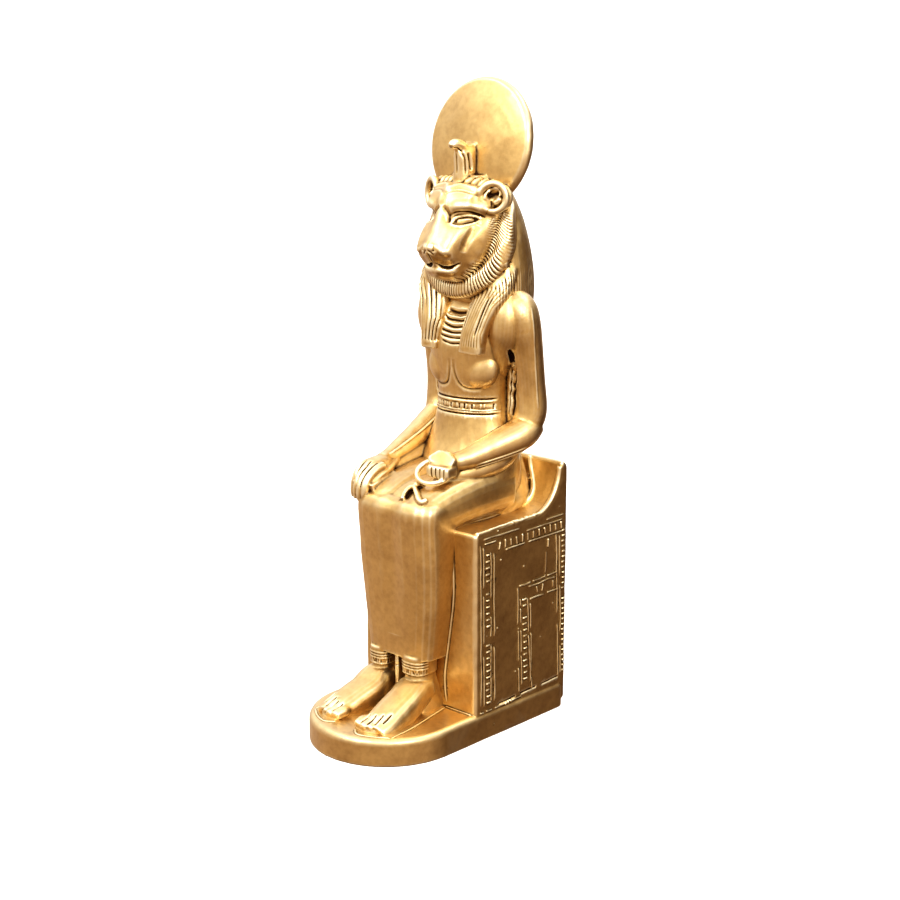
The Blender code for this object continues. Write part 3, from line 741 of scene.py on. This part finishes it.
def cobra(bm):
    # rearing on the brow with its head bent forward, its back against the disc
    column(bm, (
        (82, 0, 9.5, 1.6, 2.5, 2.6), (84.5, 0, 9.5, 1.35, 2.3, 2.6), (86.5, 0, 9.4, 1.3, 2.3, 2.6),
        (87.6, 0, 9.3, 1.15, 2.2, 2.4), (88.3, 0, 9.2, 0.9, 1.6, 2),
    ))
    limb(bm, (
        (0, 8.6, 86.8, 1.2), (0, 8.2, 87.9, 1), (0, 7.3, 88.4, 0.85),
        (0, 6.4, 88.4, 0.7), (0, 5.9, 88.1, 0.45),
    ))
    limb(bm, ((0, 11, 83, 1.4), (0, 10.8, 86.4, 1.3), (0, 10.4, 88.5, 1)))


def locks(bm):
    # short locks that stand up between the brow and the disc
    for side in sides:
        for x, lean in ((1.6, 0), (2.7, 0.3), (3.8, 0.6), (4.8, 0.9)):
            limb(bm, (
                (x, 7.6 + lean * 0.8, 82.4 - lean * 0.6, 0.62),
                (x + 0.1, 8.2 + lean * 0.8, 83.1 - lean * 0.4, 0.55),
                (x + 0.2 + lean * 0.3, 9.2 + lean * 0.6, 83.4 - lean * 0.3, 0.45),
            ), side)


def carveFace(skin):
    slant = (-0.5, 0.86, 0)
    # eye sockets first, then what lies in them
    skin.pair(((1.9, 4.2, 77.6), (3.2, 5.2, 77.75), (4.9, 7, 77.9)), 1.2, -0.35, slant)
    skin.stroke(((0, 4, 82.2), (0, 4, 81), (0, 3.8, 79.8)), 0.9, -0.18, taper=0.5)
    skin.pair(((4.9, 6.4, 77), (4.6, 5.4, 75.8), (4.1, 4.6, 74.4), (3.9, 4.4, 73.2)), 0.9, -0.2, (-0.8, 0.6, 0))
    skin.settle()
    skin.pair(((2.4, 4.6, 77.55), (3.3, 5.4, 77.65), (4.3, 6.3, 77.8)), 0.65, 0.34, slant, taper=0.45)
    # lids, the brow and the crease below it
    for points, width, height in (
        (((1.8, 4, 77.2), (2.3, 4.5, 78), (3.2, 5.4, 78.35), (4.1, 6.2, 78.25), (5, 7.1, 77.8)), 0.36, 0.24),
        (((1.7, 4, 77.2), (2.6, 4.7, 76.9), (3.4, 5.4, 76.95), (4.2, 6.2, 77.2), (4.9, 7, 77.65)), 0.32, 0.14),
        (((1.4, 4, 79.3), (2.2, 4.4, 79.7), (3.4, 5.4, 79.8), (4.6, 6.3, 79.5), (5.6, 7.6, 78.8)), 1.1, 0.28),
        (((1.5, 4, 78.3), (2.3, 4.6, 78.85), (3.5, 5.6, 78.95), (4.7, 6.5, 78.6), (5.5, 7.5, 78)), 0.3, -0.16),
    ):
        skin.pair(points, width, height, slant)
    skin.pair(((0.3, 3.6, 79.7), (1, 3.8, 79.1), (1.5, 4, 78.3), (1.8, 4, 77.3)), 0.6, -0.24)
    # the band over the brow
    for points, width, height in (
        (((0, 4.6, 81.7), (0.5, 5, 82.2), (1.6, 6, 82.6), (3, 6.9, 82.4), (4.4, 7.9, 81.8)), 0.8, 0.24),
        (((0.1, 4.4, 81), (0.7, 4.7, 81.6), (1.7, 5.6, 81.9), (3, 6.5, 81.7), (4.3, 7.6, 81.1)), 0.3, -0.08),
    ):
        skin.pair(points, width, height, slant)
    # nose
    skin.pair(((0, 0.9, 74.5), (1.3, 1.1, 74), (2.5, 1.7, 73.3), (3.3, 2.8, 73.6)), 0.5, 0.08)
    skin.pair(((0, 0.9, 73.9), (0.9, 1, 73.8)), 0.7, 0.2, taper=0.1)
    skin.pair(((0.12, 0.8, 73.6), (0.6, 0.9, 73.15), (1.05, 1, 72.7)), 0.26, -0.18, taper=0.3)
    skin.pair(((1.2, 1.1, 73.5), (0.8, 0.9, 73.3)), 0.24, -0.12, taper=0.3)
    skin.stroke(((0, 0.9, 73), (0, 1.2, 72.2), (0, 1.9, 71.5)), 0.3, -0.35)
    skin.pair(((1.4, 1.2, 73.1), (2.5, 1.8, 72.5), (3.4, 3.1, 72.7)), 0.6, -0.12)
    mouth = (
        (0, 1.9, 71.55), (0.6, 1.9, 71.2), (1.4, 2.2, 70.85), (2.3, 2.6, 70.8), (3.1, 3.4, 71.05), (3.6, 4.5, 71.5),
    )
    skin.pair(mouth, 0.38, -0.42)
    skin.pair(((0, 2.5, 70.5), (1.2, 2.6, 70.15), (2.3, 3, 70.1), (3.2, 4, 70.4)), 0.6, 0.14)


def carveHair(skin):
    v = headValues
    x, y, z = skin.co.T
    wide = np.abs(x)
    # angle and distance round the face in the front view, 0 degrees pointing down
    angle = np.degrees(np.arctan2(wide, v["faceZ"] - z))
    reach = np.hypot(x, z - v["faceZ"])
    inner = np.interp(angle, (0, 16, 37, 54, 75, 96, 120), (8.6, 8.4, 7.4, 6.7, 6.1, 5.9, 6.6))
    outer = np.interp(angle, (0, 17, 40, 57, 67, 82, 103, 125), (11.4, 11.1, 10.7, 10, 9.6, 9, 9, 8.4))
    clear = 1 - within(np.hypot(wide - v["earX"], z - v["earZ"]), -1, 2.9, 0.3) * within(y, 0, 10.2)
    before = within(y, -5, 10.4) * within(z, 60, 80.6) * clear
    maneArea = within(reach - inner, 0, 40, 0.5) * within(outer - reach, 0.1, 40, 0.4) * before
    rays = np.degrees(np.arctan2(x, v["earZ"] - z))
    skin.comb(maneArea * np.interp(z, (70, 73), (1, 0.6)), rays, 2.1, 0.22, 31, wander=0.35)
    # the wig hangs straight behind it
    turnAngle = np.degrees(np.arctan2(x, 12 - y))
    wigArea = within(reach - outer, 0.9, 60, 0.5) * within(y, 7.5, 40) * within(wide, 3.5, 20)
    wigArea *= within(z, 61.5, 81.5, 1.5)
    wigArea = np.maximum(wigArea, within(y, 13.6, 40) * within(z, 61.5, 83, 1.5))
    skin.comb(wigArea * clear, turnAngle, 3, 0.1, 33, wander=0.35)

    def lappetEdge(onLeft, onRight):
        heights = (57, 60.8, 62.3, 65, 67.4)
        return np.where(x > 0, np.interp(z, heights, onLeft), np.interp(z, heights, onRight))

    # strands of the lappets draw together downward
    inside = lappetEdge((1.5, 1.9, 2.1, 2.8, 3.2), (3.4, 3.1, 2.7, 2.9, 3.2))
    outside = lappetEdge((5.9, 6.1, 6.6, 7.5, 9.4), (6.4, 6.5, 6.8, 7.6, 9.5))
    share = (wide - inside) / (outside - inside)
    lappetArea = within(share, -0.1, 1.1, 0.1) * within(y, 3, 10) * within(z, 58.9, 68, 0.3) * (1 - maneArea)
    lappetArea *= within(reach - outer, 0.2, 60, 0.4)
    # worn nearly flat on her left side, deep on her right
    skin.comb(lappetArea * (x < 0), share, 1 / 5, 0.28, 35, wander=0.1)
    skin.comb(lappetArea * (x > 0), share, 1 / 9, 0.06, 36, wander=0.4)
    skin.stroke(((6.6, 6, 66.6), (5.7, 5.6, 63.5), (4.9, 5.4, 60.6)), 0.26, -0.24)
    skin.stroke(((7.4, 6.4, 66.9), (6.3, 6, 63.8), (5.5, 5.6, 61)), 0.2, -0.14)
    skin.stroke(((3.4, 6, 65.6), (2.9, 5.6, 63.5), (2.6, 5.4, 61.6)), 0.16, -0.14)
    # a plain sliver between mane and lappet
    skin.pair(((7.9, 9.3, 71.6), (8.1, 9.6, 69.9), (8.1, 9.6, 68.2)), 0.6, 0.2, (-0.8, 0.6, 0))


def carveCobra(skin):
    sideways = (-1, 0, 0)
    skin.pair(((1.2, 8.4, 87.2), (1.2, 8.7, 86), (1.2, 8.9, 84.6)), 0.4, -0.4, sideways)
    skin.pair(((0.9, 7.2, 87.4), (1.2, 7.8, 86.4), (1.2, 8, 84)), 0.3, -0.2, sideways)
    skin.pair(((0.6, 5.9, 88), (0.7, 6.8, 87.9), (0.9, 7.6, 87.3)), 0.25, -0.2, sideways)
    skin.stroke(((0, 7.2, 87.2), (0, 7.2, 84.2)), 0.3, -0.12)


# Throne and plinth

throneValues = {
    "voxel": 0.11,
    "smoothing": 6,
    "soften": 0,
    "grain": 0.014,
    "humps": (4, 1.1),
    "seed": 31,
    "triangles": 195000,
    "frontY": -1.2,
    "backY": 20,
    "seatZ": 32.6,
    "backTopZ": 40.2,
    "backThick": 1.6,
    "sweep": 6.4,
    "edge": 0.5,
    "corner": 1.2,
    "halfWidth": 11.74,
    "plinthHeight": 4.2,
    "plinthHalfWidth": 12,
    "plinthRim": 0.9,
    "plinthCorner": 1.8,
    "outside": 12.3,  # strokes on the walls come from here
}


def throne(bm):
    v = throneValues
    outline = [(v["frontY"], 1), (v["frontY"], v["seatZ"])]
    rise = v["backTopZ"] - v["seatZ"]
    for angle in np.linspace(0, math.pi / 2, 17):
        y = v["backY"] - v["backThick"] - v["sweep"] * (1 - math.sin(angle))
        outline.append((y, v["seatZ"] + rise * (1 - math.cos(angle))))
    for angle in np.linspace(0, math.pi / 2, 6):
        y = v["backY"] - v["corner"] * (1 - math.sin(angle))
        outline.append((y, v["backTopZ"] - v["corner"] * (1 - math.cos(angle))))
    outline.append((v["backY"], 1))
    half = v["halfWidth"]
    own = bmesh.new()
    extruded(own, [(-half, y, z) for y, z in outline], (2 * half, 0, 0))
    sharp = [edge for edge in own.edges if edge.calc_face_angle(0) > math.radians(40)]
    joinRounded(bm, own, sharp, v["edge"], 4)
    # the side walls end in a rounded rim
    rim = [(half - 0.45, y + 0.1, z - 0.08, 0.42) for y, z in [(v["frontY"] + 0.5, v["seatZ"]), *outline[2:18]]]
    for side in sides:
        limb(bm, rim, side, steps=1)


def plinth(bm):
    v = throneValues
    radius = v["plinthHalfWidth"]
    centre = radius - v["backY"]
    outline = [
        (radius * math.cos(a), centre + radius * math.sin(a), 0)
        for a in np.linspace(math.pi, 2 * math.pi, 65)
    ]
    corner = v["plinthCorner"]
    for side, start in ((1, 0), (-1, math.pi / 2)):
        for a in np.linspace(start, start + math.pi / 2, 8):
            x, y = side * (radius - corner) + corner * math.cos(a), v["backY"] - corner + corner * math.sin(a)
            outline.append((x, y, 0))
    own = bmesh.new()
    extruded(own, outline, (0, 0, v["plinthHeight"]))
    rim = [edge for edge in own.edges if all(abs(vert.co.z - v["plinthHeight"]) < 1e-5 for vert in edge.verts)]
    joinRounded(bm, own, rim, v["plinthRim"], 5)


def carvePanel(skin, side):
    # bands of rungs between thin raised lines, worn through and a little crooked, as on old thrones
    draw = np.random.default_rng(41 + side)
    wall = side * throneValues["outside"]

    def line(start, end, gaps=(), width=0.17, height=0.2):
        marks = (0, *gaps, 1)
        for i in range(0, len(marks) - 1, 2):
            count = max(3, int(math.dist(start, end) * (marks[i + 1] - marks[i]) / 1.6))
            skin.stroke([
                (wall, start[0] + (end[0] - start[0]) * t + draw.normal(0, 0.035),
                 start[1] + (end[1] - start[1]) * t + draw.normal(0, 0.035))
                for t in np.linspace(marks[i], marks[i + 1], count)
            ], width, height * draw.uniform(0.75, 1.1), (-side, 0, 0), reach=1.5, taper=0.06)

    def rungs(start, end, pitch, reach, width=0.17, height=0.2, keep=0.9):
        # short marks square to the way that they run
        length = math.dist(start, end)
        way = ((end[0] - start[0]) / length, (end[1] - start[1]) / length)
        for at in np.arange(pitch / 2, length, pitch):
            if draw.random() > keep:
                continue
            y, z = start[0] + way[0] * at, start[1] + way[1] * at
            low, high = reach * draw.uniform(0.5, 1), reach * draw.uniform(0.6, 1.05)
            skew = draw.normal(0, 0.08)
            skin.stroke((
                (wall, y + way[1] * low - way[0] * skew, z - way[0] * low),
                (wall, y - way[1] * high + way[0] * skew, z + way[0] * high),
            ), width, height * draw.uniform(0.6, 1.3), (-side, 0, 0), reach=1.5, taper=0)

    # across the top
    line((0.5, 31.66), (19.1, 31.75), (0.44, 0.77))
    line((0.7, 30.9), (18.9, 31), (0.14, 0.52))
    line((5.4, 29.1), (19, 29.15), (0.33, 0.38))
    rungs((3.4, 30), (18.9, 30.1), 1.3, 0.62, width=0.22)
    # down the front edge
    line((-0.15, 31), (0.15, 5.4))
    line((0.5, 30.4), (0.8, 5.2), (0.25, 0.3, 0.6, 0.68))
    line((2.1, 29.4), (2.35, 5.2), (0.3, 0.42, 0.55, 0.6))
    line((2.8, 29.2), (3.15, 5.5), (0.56, 0.63))
    rungs((1.45, 29.6), (1.75, 4.9), 1.02, 0.36, width=0.24, height=0.24)
    # down the back edge
    line((17.2, 29), (18.2, 5), (0.55, 0.62))
    line((18, 28.6), (18.8, 5.6), (0.3, 0.36, 0.7, 0.8))
    rungs((18.85, 30.5), (19.35, 5.2), 0.86, 0.26, width=0.22, height=0.26)
    # the small door
    line((8.3, 22.3), (8.4, 16.3))
    line((8.5, 15.4), (8.8, 5.2), (0.5, 0.6))
    line((8.95, 20.4), (9.1, 16.4), (0.3, 0.4))
    line((9.15, 15.2), (9.5, 6.2), (0.4, 0.45))
    line((10.55, 20.2), (11, 14.4))
    line((11, 14), (11.5, 6.2))
    line((11.25, 19.2), (11.8, 5), (0.3, 0.34, 0.8, 0.86))
    line((8.6, 22.5), (17.5, 22.7), (0.3, 0.36, 0.7, 0.74))
    line((10.8, 21.9), (17.3, 22))
    line((11.1, 19.85), (17.9, 19.9), (0.5, 0.6))
    rungs((10.9, 20.95), (17.4, 21), 1.28, 0.6)
    rungs((9.85, 20.6), (10.4, 6.4), 1, 0.4, width=0.24, height=0.26, keep=0.8)
    # a drop on a stem above the door
    line((15.35, 28.6), (15.3, 27.2), width=0.34, height=0.24)
    line((14.95, 26.7), (14.8, 23.2), width=0.16, height=0.1)
    # the foot of the panel, half cut away
    line((-0.1, 4.3), (2.6, 4.25), (0.3, 0.5))
    line((3.2, 4.25), (9.4, 4.4), (0.5, 0.56))
    line((4, 4.7), (18.4, 5.2), (0.28, 0.36, 0.62, 0.7), width=0.24, height=-0.25)
    rungs((5.4, 4.3), (7.2, 4.35), 0.6, 0.14, width=0.24)


def carvePanels(skin):
    for side in sides:
        carvePanel(skin, side)


def carveSeams(skin):
    # ridges left where the figure was joined to the throne in the master, and bumps of the casting
    draw = np.random.default_rng(51)
    for side in sides:
        def ridge(points, width, height, toward, jag):
            skin.stroke([(side * (x + draw.normal(0, jag)), y + draw.normal(0, jag), z) for x, y, z in points],
                        width, height, toward, taper=0.05)
        shins = ((6.9, 32.5), (7.3, 26.5), (7.25, 21.9), (6.9, 18), (6.2, 14), (5.6, 9.2), (5.8, 4.9))
        ridge([(x, -1.5, z) for x, z in shins], 0.26, 0.24, inward, 0.03)
        ridge(((6.1, -0.9, 33), (6.3, 1.7, 33), (6.55, 4, 33), (6.8, 7.5, 33), (6.5, 10.1, 33)), 0.26, 0.22, down, 0.04)
        # the near rim of the seat is lumpy
        ridge([(11.45, 2.0 + 0.9 * i, 34.5) for i in range(14)], 0.3, 0.1, down, 0.06)
        for _ in range(16):
            y, x = draw.uniform(6.5, 13), draw.uniform(10.9, 11.5)
            skin.stroke(((side * x, y, 34), (side * (x + 0.12), y + 0.2, 34)), 0.28, 0.12, down, taper=0)
        # a line on the plinth round the sole
        ridge(((2, -16.9, 6), (3.6, -17.9, 6), (5.8, -17.2, 6), (8.2, -15.6, 6)), 0.2, 0.16, down, 0.03)
        ridge(((8.2, -15.5, 6), (7.9, -11, 6), (6.9, -6, 6), (5.9, -1.6, 6)), 0.2, 0.16, down, 0.03)
        ridge(((5.8, -1.35, 6), (8, -1.45, 6), (11.2, -1.4, 6)), 0.24, 0.18, down, 0.03)
    for _ in range(46):
        # small bubbles that burst in the mould left beads
        draw.random()  # one to spare
        side = draw.choice(sides)
        x, y, z = side * throneValues["outside"], draw.uniform(0, 19), draw.uniform(1, 38)
        skin.stroke(((x, y, z), (x, y + 0.1, z)), draw.uniform(0.14, 0.24), draw.uniform(0.05, 0.16),
                    (-side, 0, 0), 1.5, taper=0)


# Materials

def linear(hexColour):
    # sRGB hex to the linear colour that the shaders use
    parts = [int(hexColour[i:i + 2], 16) / 255 for i in (1, 3, 5)]
    return tuple(c / 12.92 if c <= 0.04045 else ((c + 0.055) / 1.055) ** 2.4 for c in parts) + (1.0,)


def addNode(tree, kind, links=(), **settings):
    # settings name a node's own properties or, failing that, its sockets
    node = tree.nodes.new("ShaderNode" + kind)
    for key, value in settings.items():
        if hasattr(node, key):
            setattr(node, key, value)
        else:
            node.inputs[key.replace("_", " ")].default_value = value
    for source, target in links:
        tree.links.new(source, node.inputs[target])
    return node


goldValues = {
    "gold": "#DFBB78",
    "dull": "#BE985A",
    # pale cream of raised lines: partly wear, partly painted highlight
    "wornAndHighlight": "#F8E8C0",
    # umber for crevices, partly paint left there and partly painted shade, and for broad hollows, painted shade alone
    "umberPaintAndShade": "#3A200C",
    "roughness": 0.38,
    "hollowRoughness": 0.65,
    "lacquer": 1.0,
    "hollowLacquer": 0.1,
    "lacquerRoughness": 0.28,
    "flakeSize": 0.2,  # mm, bronze powder is nearer 0.03 and is drawn coarser so that it shows
    "mottleSize": 0.9,  # mm, brush marks
    "blotchSize": 5.0,  # mm, thin and thick coats
    "bump": 0.45,
}


def goldPaint():
    # bronze powder paint brushed over cast resin and wiped, under a thin satin lacquer that gives the highlights their
    # pale cream;
    # the colour turns umber in crevices, partly paint left there and partly painted shade, and umber in broad hollows
    # as painted shade, and pale cream on raised lines, partly wear and partly painted highlight
    v = goldValues
    material = bpy.data.materials.new("gold_paint_on_resin")
    material.use_nodes = True
    tree = material.node_tree
    shader = tree.nodes["Principled BSDF"]
    shader.inputs["Metallic"].default_value = 1.0
    shader.inputs["Coat Roughness"].default_value = v["lacquerRoughness"]
    place = addNode(tree, "TexCoord").outputs["Object"]
    crevice = addNode(tree, "Attribute", attribute_name="crevice").outputs["Fac"]
    hollow = addNode(tree, "Attribute", attribute_name="hollow").outputs["Fac"]
    # crevices darken to umber: partly paint left in them, partly painted shade
    deep = addNode(tree, "MapRange", [(crevice, "Value")], From_Min=0.15, From_Max=0.95)
    # broad hollows darken to umber as painted shade
    wide = addNode(tree, "MapRange", [(hollow, "Value")], From_Min=0.2, From_Max=1.3, To_Max=0.42)
    dark = addNode(tree, "Math", [(deep.outputs[0], 0), (wide.outputs[0], 1)], operation="ADD", use_clamp=True)
    # raised lines turn pale cream: partly wear, partly painted highlight
    ridge = addNode(tree, "MapRange", [(crevice, "Value")], From_Min=-0.05, From_Max=-0.55)
    blotch = addNode(tree, "TexNoise", [(place, "Vector")], Scale=1 / (v["blotchSize"] * mm), Detail=4.0)
    tone = addNode(tree, "MapRange", [(blotch.outputs["Fac"], "Value")], From_Min=0.38, From_Max=0.66,
                   To_Min=0.0, To_Max=0.5)
    mottle = addNode(tree, "TexNoise", [(place, "Vector")], Scale=1 / (v["mottleSize"] * mm), Detail=4.0)
    patch = addNode(tree, "MapRange", [(mottle.outputs["Fac"], "Value")], From_Min=0.4, From_Max=0.7,
                    To_Max=0.45)
    tone = addNode(tree, "Math", [(tone.outputs[0], 0), (patch.outputs[0], 1)], operation="ADD", use_clamp=True)
    gold = addNode(tree, "Mix", [(tone.outputs[0], 0)], data_type="RGBA")
    gold.inputs[6].default_value = linear(v["gold"])
    gold.inputs[7].default_value = linear(v["dull"])
    bright = addNode(tree, "Mix", [(ridge.outputs[0], 0), (gold.outputs[2], 6)], data_type="RGBA")
    bright.inputs[7].default_value = linear(v["wornAndHighlight"])
    # painted shade, and paint left in crevices, laid over the gold
    residueAndShade = addNode(tree, "Mix", [(dark.outputs[0], 0), (bright.outputs[2], 6)], data_type="RGBA")
    residueAndShade.inputs[7].default_value = linear(v["umberPaintAndShade"])
    tree.links.new(residueAndShade.outputs[2], shader.inputs["Base Color"])
    rough = addNode(tree, "MapRange", [(dark.outputs[0], "Value")], To_Min=v["roughness"],
                    To_Max=v["hollowRoughness"])
    tree.links.new(rough.outputs[0], shader.inputs["Roughness"])
    coat = addNode(tree, "MapRange", [(dark.outputs[0], "Value")], To_Min=v["lacquer"],
                   To_Max=v["hollowLacquer"])
    tree.links.new(coat.outputs[0], shader.inputs["Coat Weight"])
    flakes = addNode(tree, "TexNoise", [(place, "Vector")], Scale=1 / (v["flakeSize"] * mm), Detail=2.0)
    bump = addNode(tree, "Bump", [(flakes.outputs["Fac"], "Height")], Strength=v["bump"], Distance=0.03 * mm)
    tree.links.new(bump.outputs[0], shader.inputs["Normal"])
    return material


# Stage, light and camera

def stagePiece(name, bm, materialName, colour, roughness, glow):
    material = bpy.data.materials.new(materialName)
    material.use_nodes = True
    inputs = material.node_tree.nodes["Principled BSDF"].inputs
    inputs["Base Color"].default_value = linear(colour)
    inputs["Roughness"].default_value = roughness
    inputs["Emission Color"].default_value = linear("#FFFFFF")
    inputs["Emission Strength"].default_value = glow
    obj = objectFrom(name, bm)
    obj.data.materials.append(material)
    obj.visible_glossy = False  # the gold mirrors the room, not the paper it stands on
    return obj


def makeStage():
    bm = bmesh.new()
    bmesh.ops.create_circle(bm, cap_ends=True, segments=64, radius=4.0)
    floor = stagePiece("floor", bm, "pale_floor", "#F4F3F0", 0.9, 0.35)
    bm = bmesh.new()
    bmesh.ops.create_uvsphere(bm, u_segments=48, v_segments=24, radius=3.9)
    backdrop = stagePiece("backdrop", bm, "white_paper_backdrop", "#000000", 0.5, 1.0)
    # it is there for the camera alone and neither lights nor shades anything
    backdrop.visible_diffuse = backdrop.visible_shadow = backdrop.visible_transmission = False


lampDistance, lampSize, figureMiddle = 0.60, 0.30, 0.045  # m
lights = (
    # name, azimuth, elevation, power
    ("window", -3, 43, 1.6),
    ("side_window", 70, 30, 1.5),
    ("skylight", 150, 58, 0.7),
    ("far_window", -60, 55, 0.5),
)


def makeLight(name, azimuth, elevation, power):
    lamp = bpy.data.lights.new(name, "AREA")
    lamp.energy = power
    lamp.size = lampSize
    obj = bpy.data.objects.new(name, lamp)
    bpy.context.scene.collection.objects.link(obj)
    a, e = math.radians(azimuth), math.radians(elevation)
    aim = Vector((0, 0, figureMiddle))
    obj.location = aim + Vector((math.sin(a) * math.cos(e), -math.cos(a) * math.cos(e), math.sin(e))) * lampDistance
    obj.rotation_euler = (aim - obj.location).to_track_quat("-Z", "Y").to_euler()


roomValues = {
    "strength": 1.42,
    # colours from straight below, 0, to straight above, 1
    "sky": ((0.12, "#6E5034"), (0.34, "#BFA690"), (0.50, "#C6B7A6"), (0.60, "#DAD2C8"), (0.74, "#FFFFFF")),
    "shade": "#452E21",
    "shadeWay": (0.46, 0.88, -0.12),
}


def makeRoom():
    v = roomValues
    world = bpy.data.worlds.new("soft_room")
    bpy.context.scene.world = world
    world.use_nodes = True
    tree = world.node_tree
    background = tree.nodes["Background"]
    direction = addNode(tree, "TexCoord").outputs["Generated"]
    parts = addNode(tree, "SeparateXYZ", [(direction, 0)])
    height = addNode(tree, "MapRange", [(parts.outputs[2], "Value")], From_Min=-1.0, From_Max=1.0)
    sky = addNode(tree, "ValToRGB", [(height.outputs[0], 0)])
    ramp = sky.color_ramp.elements
    ramp.remove(ramp[1])
    ramp[0].position, ramp[0].color = v["sky"][0][0], linear(v["sky"][0][1])
    for spot, colour in v["sky"][1:]:
        ramp.new(spot).color = linear(colour)
    # the room is darker and browner behind her left side
    shade = addNode(tree, "VectorMath", [(direction, 0)], operation="DOT_PRODUCT")
    shade.inputs[1].default_value = v["shadeWay"]
    dim = addNode(tree, "MapRange", [(shade.outputs["Value"], "Value")], From_Min=0.66, From_Max=0.94)
    room = addNode(tree, "Mix", [(dim.outputs[0], 0), (sky.outputs[0], 6)], data_type="RGBA")
    room.inputs[7].default_value = linear(v["shade"])
    tree.links.new(room.outputs[2], background.inputs["Color"])
    background.inputs["Strength"].default_value = v["strength"]


cameraValues = {
    "lens": 69.28,
    "place": (175.99, -181.10, 106.63),  # mm
    "aim": (3.129, 2.439, 43.525),
}


def makeCamera():
    v = cameraValues
    camera = bpy.data.cameras.new("camera")
    camera.lens = v["lens"]
    camera.clip_start = 0.01
    obj = bpy.data.objects.new("camera", camera)
    bpy.context.scene.collection.objects.link(obj)
    obj.location = Vector(v["place"]) * mm
    aim = Vector(v["aim"]) * mm
    obj.rotation_euler = (aim - obj.location).to_track_quat("-Z", "Y").to_euler()
    bpy.context.scene.camera = obj


makeCamera()
makeStage()
makeRoom()
for light in lights:
    makeLight(*light)
# the photograph's strong contrast
view = bpy.context.scene.view_settings
view.view_transform = "Standard"
view.look = "Medium High Contrast"
view.exposure = -0.15
print("camera, stage, room and", len(lights), "lights are set")

gold = goldPaint()
print("gold paint is mixed")
for piece in (
    sculpt("throne_and_plinth", throneValues, (throne, plinth), (carvePanels, carveSeams)),
    sculpt("goddess_body", bodyValues, (torso, legs, feet, arms, hands),
           (carveTorso, carveBelt, carveHands, carveDress, carveFeet)),
    sculpt("lioness_head", headValues, (wig, face, ears, mane, locks, sunDisc, cobra),
           (carveFace, carveEars, carveHair, carveCobra)),
):
    piece.data.materials.clear()
    piece.data.materials.append(gold)
    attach(piece, "root")
    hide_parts("figurine")
